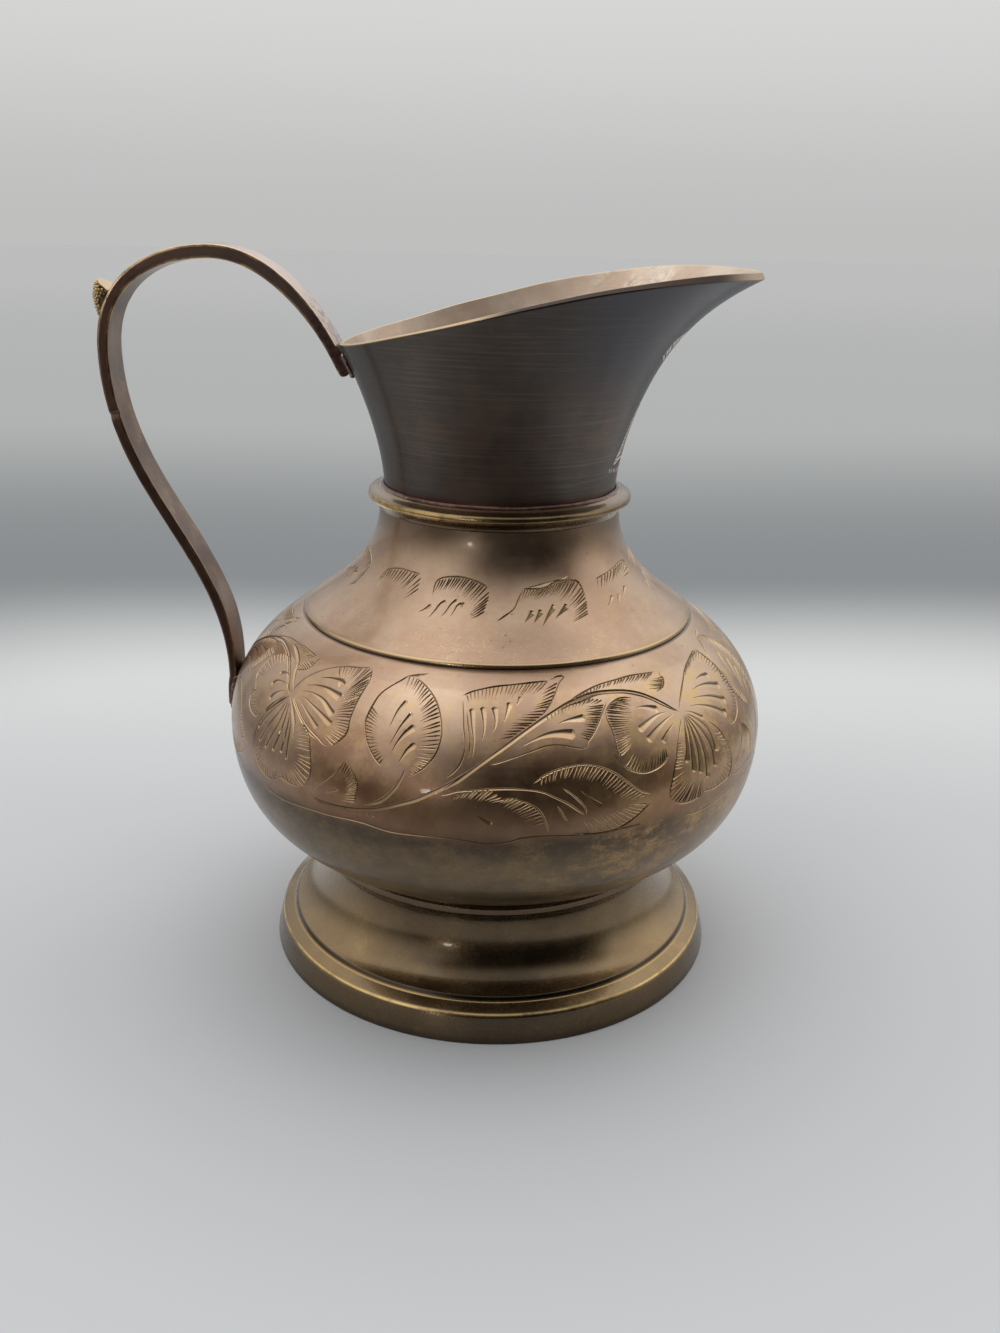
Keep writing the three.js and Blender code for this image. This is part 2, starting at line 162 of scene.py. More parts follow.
def at_lengths(wanted, lengths, points):
    """Places on a path at wanted lengths along it."""
    return np.column_stack([np.interp(wanted, lengths, column) for column in points.T])


def rounded(outline):
    """A closed outline. A row's third value is how far an arc eases its corner."""
    eased = []
    for i, row in enumerate(outline):
        point = np.array(row[:2], float)
        if len(row) < 3:
            eased.append(point)
            continue
        before = np.array(outline[i - 1][:2], float) - point
        after = np.array(outline[(i + 1) % len(outline)][:2], float) - point
        to_before, to_after = np.linalg.norm(before), np.linalg.norm(after)
        reach = min(row[2], to_before * 0.45, to_after * 0.45)
        start, end = point + before / to_before * reach, point + after / to_after * reach
        eased += [bow(t, start, point, end) for t in np.linspace(0, 1, 5)]
    return np.array(eased)


def belly_line(steps):
    lower = cubic(BASE, BELLY, (0.329, 0.134), (0, 0.72), steps)
    upper = cubic(BELLY, SEAM, (0, 0.418), (0.615, 0.239), steps)
    return np.concatenate([lower, upper[1:]])


def shoulder_line(steps):
    return cubic(STEP, THROAT, (0.382, 0.203), (0, 0.509), steps)


COVE = cubic(COVE_FOOT, WAIST, (0.62, 0.16), (0, 0.5), 30)
FLARE = cubic(WAIST, (FOOT_LIP_RADIUS, FOOT_LIP), (0, 0.5), (0.5, 0), 10)
BELLY_LINE = belly_line(60)
SHOULDER_LINE = shoulder_line(60)
FINE_STEPS = 500


# Meshes


def as_mesh(name, points, faces, merge=0.0, sharp=40.0):
    """A closed piece from points in millimetres round the vessel's axis."""
    mesh = bpy.data.meshes.new(name)
    place = (np.asarray(points, float) + (AXIS_X, 0, 0)) * MM
    mesh.from_pydata(place.tolist(), [], [list(map(int, f)) for f in faces])
    if merge:
        work = bmesh.new()
        work.from_mesh(mesh)
        bmesh.ops.remove_doubles(work, verts=work.verts, dist=merge * MM)
        bmesh.ops.dissolve_degenerate(work, dist=1e-9, edges=work.edges)
        work.to_mesh(mesh)
        work.free()
    mesh.update()
    mesh.polygons.foreach_set("use_smooth", [True] * len(mesh.polygons))
    mesh.set_sharp_from_angle(angle=math.radians(sharp))
    piece = bpy.data.objects.new(name, mesh)
    bpy.context.scene.collection.objects.link(piece)
    return piece


def round_points(outline):
    """Points of an outline turned round the axis, one row of columns for each of its points."""
    angles = np.arange(COLUMNS) * 2 * np.pi / COLUMNS
    x = outline[:, :1] * np.cos(angles)
    y = outline[:, :1] * np.sin(angles)
    z = np.repeat(outline[:, 1:2], COLUMNS, axis=1)
    return np.stack([x, y, z], axis=2).reshape(-1, 3)


def grid_faces(rows, columns, close_rows):
    """Faces between rows of points that go round, the last row joined to the first or not."""
    faces = []
    for i in range(rows if close_rows else rows - 1):
        low, high = i * columns, (i + 1) % rows * columns
        for j in range(columns):
            k = (j + 1) % columns
            faces.append((low + j, low + k, high + k, high + j))
    return faces


def turned(name, outline, uneven=0.0, seed=1):
    """A closed piece turned from an outline that runs up its outside and down its inside."""
    points = round_points(outline)
    if uneven:
        points = ruffled(points, uneven, seed)
    return as_mesh(name, points, grid_faces(len(outline), COLUMNS, True), merge=1e-4)


RUFFLE_SIZE = 1.6


def waves(places, seed, size):
    """Smooth uneven values between about -1 and 1 at places, from a few sine waves."""
    chance = random.Random(seed)
    total = np.zeros(len(places))
    for _ in range(6):
        turn = np.array([chance.gauss(0, 1) for _ in range(3)]) / size
        total += np.sin(places @ turn + chance.uniform(0, 2 * math.pi))
    return total / 3


def ruffled(points, amount, seed):
    """Points moved a little in all directions, as on metal that ran and set."""
    moved = [waves(points, seed + k, RUFFLE_SIZE) for k in range(3)]
    return points + np.stack(moved, axis=1) * amount


def skinned(name, rings, sharp):
    """A skin over rings of points, closed at both ends."""
    count = len(rings[0])
    faces = grid_faces(len(rings), count, False)
    faces.append(tuple(range(count))[::-1])
    faces.append(tuple((len(rings) - 1) * count + i for i in range(count)))
    return as_mesh(name, np.concatenate(rings), faces, sharp=sharp)


def stands_for(piece, node, material):
    """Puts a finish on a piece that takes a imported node's place."""
    piece.data.materials.clear()
    piece.data.materials.append(material)
    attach(piece, "root")
    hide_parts(node)


# Foot: a flat worn flange, a small step, a deep cove and a flared lip


def make_foot():
    rest_inner = FOOT_RADIUS - REST_RING
    outline = rounded(
        [
            (FOOT_RADIUS, 0, 0.5),
            (*FOOT_EDGE, 0.9),
            (*FOOT_STEP, 0.25),
            (*COVE_FOOT, 0.4),
            *COVE[1:],
            *FLARE[1:-1],
            (FOOT_LIP_RADIUS, FOOT_LIP, 0.4),
            (FOOT_LIP_RADIUS, FOOT_TOP, 0.4),
            (WAIST[0] - FOOT_WALL, FOOT_TOP, 0.3),
            *beside(COVE, FOOT_WALL)[::-1],
            (rest_inner, FOOT_EDGE[1] - FOOT_WALL, 0.6),
            (rest_inner, 0, 0.5),
        ]
    )
    return turned("foot_turned", outline)


# Collar ring: a flat underside, a round edge and a hollow ledge under the neck


def make_collar():
    middle, bead = (COLLAR_RADIUS - COLLAR_BEAD, COLLAR_FOOT + 3.6), COLLAR_BEAD
    edge = []
    for angle in np.radians(np.linspace(-75, 80, 14)):
        edge.append((middle[0] + bead * math.cos(angle), middle[1] + bead * math.sin(angle)))
    outline = rounded(
        [
            (BORE, COLLAR_FOOT, 0.2),
            (BORE + 3.6, COLLAR_FOOT, 0.3),
            (BORE + 3.9, COLLAR_FOOT + 1.2, 0.5),
            *edge,
            (SOCKET + 1.6, COLLAR_TOP - 0.5, 0.4),
            (SOCKET + 0.9, COLLAR_TOP, 0.3),
            (SOCKET, COLLAR_TOP, 0.2),
            (SOCKET, NECK_END, 0.2),
            (BORE, NECK_END, 0.2),
        ]
    )
    return turned("collar_turned", outline)


# Neck: one even flare, drawn out to the lip in front and pinched in at the sides


def mouth_reach(angle):
    return MOUTH_BACK + (MOUTH_LIP - MOUTH_BACK) * ((1 + np.cos(angle)) / 2) ** LIP_NARROW


def mouth_height(angle):
    length = MOUTH_BACK + MOUTH_LIP
    t = (mouth_reach(angle) * np.cos(angle) + MOUTH_BACK) / length
    back, lip = NECK_BACK_HEIGHT, NECK_LIP_HEIGHT
    return bezier(t, back, back + 0.25 * length / 3, lip + 0.07 * length / 3, lip)


def neck_radius(angle, part):
    height = mouth_height(angle)

    def flare(h):
        return (MOUTH_BACK - NECK_RADIUS) * (h / NECK_BACK_HEIGHT) ** FLARE_BEND

    drawn = mouth_reach(angle) - NECK_RADIUS - flare(height)
    power = np.where(drawn > 0, LIP_BEND, PINCH_BEND)
    return NECK_RADIUS + flare(height * part) + drawn * part**power


def neck_point(angle, part, depth):
    """Points on the neck at angles and shares of its height, moved in by depth."""
    angle, part, depth = np.broadcast_arrays(
        np.asarray(angle, float), np.asarray(part, float), np.asarray(depth, float)
    )
    height = mouth_height(angle)
    before = np.clip(part - 0.001, 0, None)
    after = before + 0.001
    spread = neck_radius(angle, after) - neck_radius(angle, before)
    lean = np.arctan2(spread, 0.001 * height)
    radius = neck_radius(angle, part) - depth * np.cos(lean)
    z = COLLAR_TOP + height * part + depth * np.sin(lean)
    return np.stack([radius * np.cos(angle), radius * np.sin(angle), z], axis=-1)


def rim_wall(angle):
    """Thickness of the sheet at the mouth: thin behind and left thick at the lip."""
    return RIM_AT_BACK + (NECK_WALL - RIM_AT_BACK) * ((1 + np.cos(angle)) / 2) ** RIM_FALL


def neck_motif():
    """A tall hatched leaf under the lip, a row of ticks below it and leaf tips above."""
    chance = random.Random(23)
    side = np.array([-14.4,8.4, -11.4,12.5, -9.8,17.1, -8.1,21.7, -5.2,26.4, -0.4,31.0])
    side = side.reshape(-1, 2)
    tip = (-12.9,36.4, -12.2,37.9, -12.3,39.7, -10.6,41.4, -5.5,42.9)
    drawing = [
        line(side),
        line(-14.4,8.4, -9.0,9.6, -3.0,9.0, -0.5,9.4),
        hatch(26, side, side * (0.66, 1) + (0.2, 0.5)),
        gouge(1.0, -1.2,12.0, -3.0,16.0, -4.4,19.5),
        gouge(0.9, -1.0,17.0, -2.2,20.6, -3.2,23.5),
        line(*tip),
        hatch(9, tip, [-8.4,34.8, -8.0,36.6, -7.2,38.0, -6.0,39.6, -3.6,41.2]),
        hatch(8, [-17.8,7.8, -11.0,6.9, -3.4,6.6], [-16.8,6.4, -10.2,5.5, -2.6,5.2]),
    ]
    strokes = []
    for sign in (1, -1):
        for _, make, values in cuts_from(drawing, lambda points: points * (sign, 1), chance):
            strokes += make(*values)
    return strokes


def make_neck():
    angles = np.arange(COLUMNS) * 2 * np.pi / COLUMNS
    parts = 1 - (1 - np.linspace(0, 1, NECK_ROWS)) ** 1.15

    def waviness(angle, part):
        places = np.stack([np.cos(angle), np.sin(angle), 0 * angle], 1)
        near_mouth = np.clip((part - 0.75) / 0.25, 0, None)
        return MOUTH_UNEVEN * waves(places, 5, 0.22) * near_mouth

    def ring(part, depth, drop=0.0):
        points = neck_point(angles, part, depth)
        points[:, 2] += waviness(angles, part) - drop
        return points

    tail = neck_point(angles, 0, 0)
    tail[:, 2] = NECK_END
    wall = rim_wall(angles)
    rings = [tail, *(ring(part, 0) for part in parts[:-1])]
    rings += [ring(0.996, 0), ring(1, 0.12), ring(1, wall - 0.42, -0.03), ring(1, wall - 0.16)]
    rings.append(ring(0.996, wall))
    for part in parts[-2::-1]:
        blend = min(1.0, max(0.0, (part - 0.55) / 0.4))
        rings.append(ring(part, NECK_WALL + (wall - NECK_WALL) * blend))
    inner = neck_point(angles, 0, NECK_WALL)
    inner[:, 2] = NECK_END
    rings.append(inner)

    # The engraved patch takes the place of the plain faces in front, under the lip
    (low, high), reach = MOTIF_ROWS, MOTIF_REACH
    around = np.arange(-reach, reach + 1)
    columns = around * 2 * np.pi / COLUMNS * NECK_SCALE
    tall = mouth_height(0.0)
    rows = parts[low : high + 1] * tall
    places, faces, depths, shares, found = engraved_plane(neck_motif(), columns, rows)
    angle, part = places[:, 0] / NECK_SCALE, places[:, 1] / tall
    points = neck_point(angle, part, 0)
    turn = neck_point(angle + 0.001, part, 0) - neck_point(angle - 0.001, part, 0)
    rise = neck_point(angle, part + 0.001, 0) - neck_point(angle, part - 0.001, 0)
    normals = unit(np.cross(turn, rise))
    points[:, 2] += waviness(angle, part)
    points = points - normals * depths[:, None]
    total = len(rings) * COLUMNS
    fresh = np.arange(len(points)) + total
    for r in range(len(rows)):
        for c in range(len(columns)):
            if r in (0, len(rows) - 1) or c in (0, len(columns) - 1):
                fresh[found[r * len(columns) + c]] = (low + 1 + r) * COLUMNS + around[c] % COLUMNS
    made = [tuple(int(fresh[i]) for i in face) for face in faces]
    # Plain faces everywhere else
    for i in range(len(rings)):
        for j in range(COLUMNS):
            k = (j + 1) % COLUMNS
            if low + 1 <= i < high + 1 and (j + reach) % COLUMNS < 2 * reach:
                continue
            up = (i + 1) % len(rings)
            made.append((i * COLUMNS + j, i * COLUMNS + k, up * COLUMNS + k, up * COLUMNS + j))
    all_points = np.concatenate([*rings, points])
    marks = {}
    for name, rim, beyond in (
        ("inside", [0.0, 0.0, 0.5, 1.0, 1.0], 1.0),
        ("rim", [0.3, 1.0, 1.0, 1.0, 0.3], 0.0),
        ("edge", [0.0, 0.0, 0.0, 1.0, 0.5], 0.0),
    ):
        by_ring = [0.0] * NECK_ROWS + rim + [beyond] * NECK_ROWS
        marks[name] = np.concatenate([np.repeat(by_ring, COLUMNS), np.zeros(len(points))])
    cuts = (len(faces), depths, shares, normals, fresh)
    return cut_mesh("neck_drawn", all_points, made, marks, cuts)


# Strap handle


def belly_radius(z):
    return float(np.interp(z, BELLY_LINE[:, 1], BELLY_LINE[:, 0]))


def belly_seat(z, thickness):
    return (-(belly_radius(z) + FIT_GAP + thickness / 2), z)


def neck_seat(drop, thickness):
    point = neck_point(math.pi, 1 - drop / NECK_BACK_HEIGHT, -(FIT_GAP + thickness / 2))
    return (float(point[0]), float(point[2]))


def strap_line():
    """Middle line of the strap in the upright plane, as evenly spaced points."""
    low_start = np.array(belly_seat(STRAP_END_Z, STRAP_TIP))
    low_middle = np.array(belly_seat(STRAP_END_Z + STRAP_SEAT / 2, STRAP_THIN))
    low_end = np.array(belly_seat(STRAP_END_Z + STRAP_SEAT, STRAP_THIN))
    top_start = np.array(neck_seat(0.6, STRAP_THICK))
    top_end = np.array(neck_seat(STRAP_DROP, STRAP_THIN))
    landing = (top_start - top_end) / np.linalg.norm(top_start - top_end) * 5
    seat = bow(np.linspace(0, 1, 30)[:, None], low_start, low_middle, low_end)
    sweep = cubic(low_end, REACH, (0, 0.407), (0, 0.424), 200)
    arch = cubic(REACH, CROWN, (0, 0.95), (0.185, 0), 100)
    span = top_start - np.array(CROWN)
    descent = cubic(CROWN, top_start, (0.557, 0), -landing / span, 120)
    end = top_start + (top_end - top_start) * np.linspace(0, 1, 20)[:, None]
    points = np.concatenate([seat, sweep[1:], arch[1:], descent[1:], end[1:]])
    lengths = arc_lengths(points)
    crown_at = arc_lengths(np.concatenate([seat, sweep[1:], arch[1:]]))[-1] / lengths[-1]
    return at_lengths(np.linspace(0, lengths[-1], 361), lengths, points), lengths[-1], crown_at


def smooth_step(x, low, high):
    t = np.clip((x - low) / (high - low), 0, 1)
    return t * t * (3 - 2 * t)


def strap_thickness(u):
    body = STRAP_TIP + (STRAP_THIN - STRAP_TIP) * smooth_step(u, 0, 0.05)
    arch = smooth_step(u, 0.5, 0.72) * (1 - smooth_step(u, 0.82, 1))
    return body + (STRAP_THICK - body) * arch


STRAP_LINE, STRAP_LENGTH, CROWN_AT = strap_line()


def strap_frame(u):
    """Middle point and outward direction of the strap at shares of its length."""
    places = np.linspace(0, 1, len(STRAP_LINE))
    way = unit(at_lengths(u, places, unit(np.gradient(STRAP_LINE, axis=0))))
    return at_lengths(u, places, STRAP_LINE), np.column_stack([-way[:, 1], way[:, 0]])


def make_strap(material):
    ends = np.linspace(0, 1.3, 7) / STRAP_LENGTH
    between = np.linspace(ends[-1], 1 - ends[-1], 337)
    u = np.unique(np.concatenate([ends[:-1], between, 1 - ends[:-1]]))
    point, out = strap_frame(u)
    flat = np.zeros(len(u))
    # The bar is thicker than its line of rest, all of it on the inner side
    fuller = STRAP_FULLER * smooth_step(u, 0.03, 0.16)
    point = point - out * fuller[:, None] / 2
    bend = waves(np.column_stack([u * 60, flat, flat]), 11, 3.0)
    near, far = (0.10 * waves(np.column_stack([u * 170, flat, flat + k]), 21, 4.0) for k in (0, 9))
    # A nick in the near edge, and ends that are rounded over
    near = near - NICK_DEPTH * np.exp(-(((u - NICK_AT) / NICK_WIDE) ** 2))
    end_gap = np.minimum(u, 1 - u) * STRAP_LENGTH
    narrow = np.clip(0.9 - end_gap, 0, None) * 0.9 + 0.05
    half_width = STRAP_WIDTH / 2 + (near + far) / 2 - narrow
    half_thick = (strap_thickness(u) + fuller) / 2 + 0.03 * bend
    turn = 0.75 * half_thick
    short = np.clip(turn - end_gap, 0, None)
    half_thick = half_thick - turn + np.sqrt(turn**2 - np.minimum(short, turn) ** 2)
    ease = np.minimum(0.42, half_thick * 0.7)
    path = np.column_stack([point[:, 0], (far - near) / 2, point[:, 1]])
    across = np.column_stack([flat, flat + 1, flat])
    outward = np.column_stack([out[:, 0], flat, out[:, 1]])
    return swept(
        "strap_forged",
        path,
        across,
        outward,
        np.column_stack([half_width, half_thick, ease]),
        bar_section(4, (0.06, 0.28, 0.5, 0.72, 0.94)),
        material,
        sharp=60,
        Uneven=0.05,
        Seed=4.0,
    )


# The drawing, in millimetres of the unrolled surface. Each guide is a row of places, x,y. A
# line or stem has one path, a gouge its blunt end's width and a path towards that end, and a
# hatch its number of strokes and the guides that they run from and to.


def line(*path):
    return "line", 0, path


def stem(*path):
    return "stem", 0, path


def gouge(blunt, *path):
    return "gouge", blunt, path


def hatch(count, outer, inner):
    return "hatch", count, outer, inner


LEFT_FLOWER = [
    line(-0.6,0.5, 0,3, 1.3,5.6, 4.1,8.2, 7.9,10.5, 13,12.3, 17.9,13.1, 22,14.1),
    line(22,14.1, 23.7,11.1, 23.9,8.6, 23.6,5.8, 23.5,3.4, 23.6,0.9, 23.7,-1.1, 24.2,-3.2,
        24.1,-4.7, 22.8,-6.6, 20.8,-8.6),
    line(1.5,-0.6, 5.2,-2.7, 9.3,-5, 13.4,-6.7, 16.3,-7.7, 18.1,-8.6, 20.8,-8.6),
    line(1.4,-1, 5.1,-3.2, 8.8,-5.3, 12.6,-7.2, 15.9,-8.2),
    hatch(11, [10.4,11.1, 13.7,12.2, 18.6,13.1, 22.2,13.3, 23.5,10.9], [13.1,8.5, 14.1,8.5, 16.9,8,
        18.6,6.6, 18.1,4.9]),
    hatch(13, [23.5,10.9, 23.7,8.2, 23.5,5.5, 23.4,3.1, 23.5,1, 23.7,-1], [18.1,4.9, 17.5,3.9,
        17.6,2.8, 17.9,1.2, 17.8,-0.2, 18.3,-1.7]),
    hatch(10, [23.7,-1, 24.2,-3.2, 24.1,-4.7, 22.8,-6.6, 21,-8.3], [18.4,-1.9, 18.9,-3.5,
        18.9,-4.5, 18.3,-5.7, 17.4,-6.9]),
    gouge(2.6, 6.5,6.8, 10.1,7.8, 14.3,8.3, 15.9,7.8),
    gouge(2.4, 2.8,3.4, 7.2,4.7, 11.8,5.1, 17,4.5),
    gouge(2.2, 2.9,1.8, 7,2.5, 12.4,2, 17.6,-0.3),
    gouge(2, 3.4,0.7, 6.7,0.3, 12.7,-1.1, 18.2,-2.8),
    gouge(1.5, 3.5,-0.4, 6.8,-1.5, 10.8,-3.2, 14.3,-4.8),
    stem(0.1,-0.9, 3.5,-3.2, 6,-5.7, 7.3,-8.5, 7.5,-10.6),
    line(7,-6.3, 9.9,-6.1, 12.6,-7.8, 14.7,-11.5, 15.9,-15.9, 14.9,-19.3, 13.3,-21.3),
    line(13.3,-21.3, 10.2,-21.8, 7.2,-21.8, 4.5,-21.4, 2.7,-22.5, 0,-23.5, -3.2,-23.4, -6.5,-21.4,
        -8.7,-18.4, -9.3,-15, -8.6,-11.5, -7.1,-8.1, -3.9,-4.2, -0.5,-0.9),
    hatch(8, [10,-5.9, 12.1,-7.5, 13.5,-9.3, 14.7,-11.5], [7.5,-6.6, 8.5,-9, 9,-10.6, 9.3,-12.2]),
    hatch(12, [14.8,-12.1, 15.9,-15.9, 14.9,-19.2, 12.1,-21.4, 8.2,-21.7, 5.5,-21.5], [9.5,-13.1,
        10.1,-14.6, 10.2,-16.3, 9.1,-17.9, 7.2,-18.6, 5.5,-19.3]),
    hatch(12, [3.4,-21.9, 0.3,-23.2, -3,-23.2, -6.2,-21.4, -8.5,-18.5], [3.2,-19.1, 1.1,-19.6,
        -1.3,-19.2, -3.6,-17.7, -5.4,-16.3]),
    gouge(1.6, -0.6,-1.7, -3.6,-5, -6.2,-8.5, -8.2,-11.8),
    gouge(1.6, -0.2,-1.8, -1.5,-5.8, -3.5,-9.7, -6.3,-14.8),
    gouge(1.6, 0.2,-1.9, 0.4,-6.1, -0.3,-10, -2.9,-15.4),
    gouge(1.6, 0.7,-2, 2,-6, 2.1,-10.5, 0.7,-15),
    gouge(1.6, 0.9,-1.9, 3.5,-6, 4.4,-10.3, 4,-14.4),
    gouge(1.4, 1.3,-2, 5,-7.4, 6.1,-11.5, 6.4,-15.6),
    line(-1.4,-1.3, -4.1,-4, -6.9,-7.1, -10.3,-10, -13.5,-10.4, -17.6,-9.3, -19.4,-7.2, -19,-4.5,
        -22.7,-2.2, -23.1,1, -23.2,5.1),
    hatch(9, [-9.2,-9.3, -13.7,-10.2, -17.5,-9.2, -19.4,-7.2, -18.9,-4.8], [-7.5,-7.1, -10.9,-7.5,
        -13.1,-7.1, -14.7,-6, -15,-4.3]),
    hatch(14, [-22.7,-2.2, -23.1,1, -22.4,4.2, -18.7,6.9, -14.1,8.2, -9.6,8.3], [-16,-0.8,
        -16.8,1.1, -16,2.8, -14.1,4.6, -11.3,5.6, -8.9,5.6]),
    gouge(1.6, -1.7,-1, -4.1,-3, -6.1,-4.9, -7.6,-7.5),
    gouge(1.4, -3.4,0, -5.9,-1.1, -7.5,-2.3, -8.4,-3.8),
    gouge(1.4, -4.1,1.6, -7.6,1.4, -10.2,0.8, -11.3,-0.4),
    gouge(1.4, -5.7,3.6, -7.2,3.9, -9.2,3.8, -10.8,3.2),
    stem(-0.4,0.9, -2.7,3.3, -4.6,5.3, -7,8, -11.6,10, -16.4,10.9, -18.7,10.8),
]

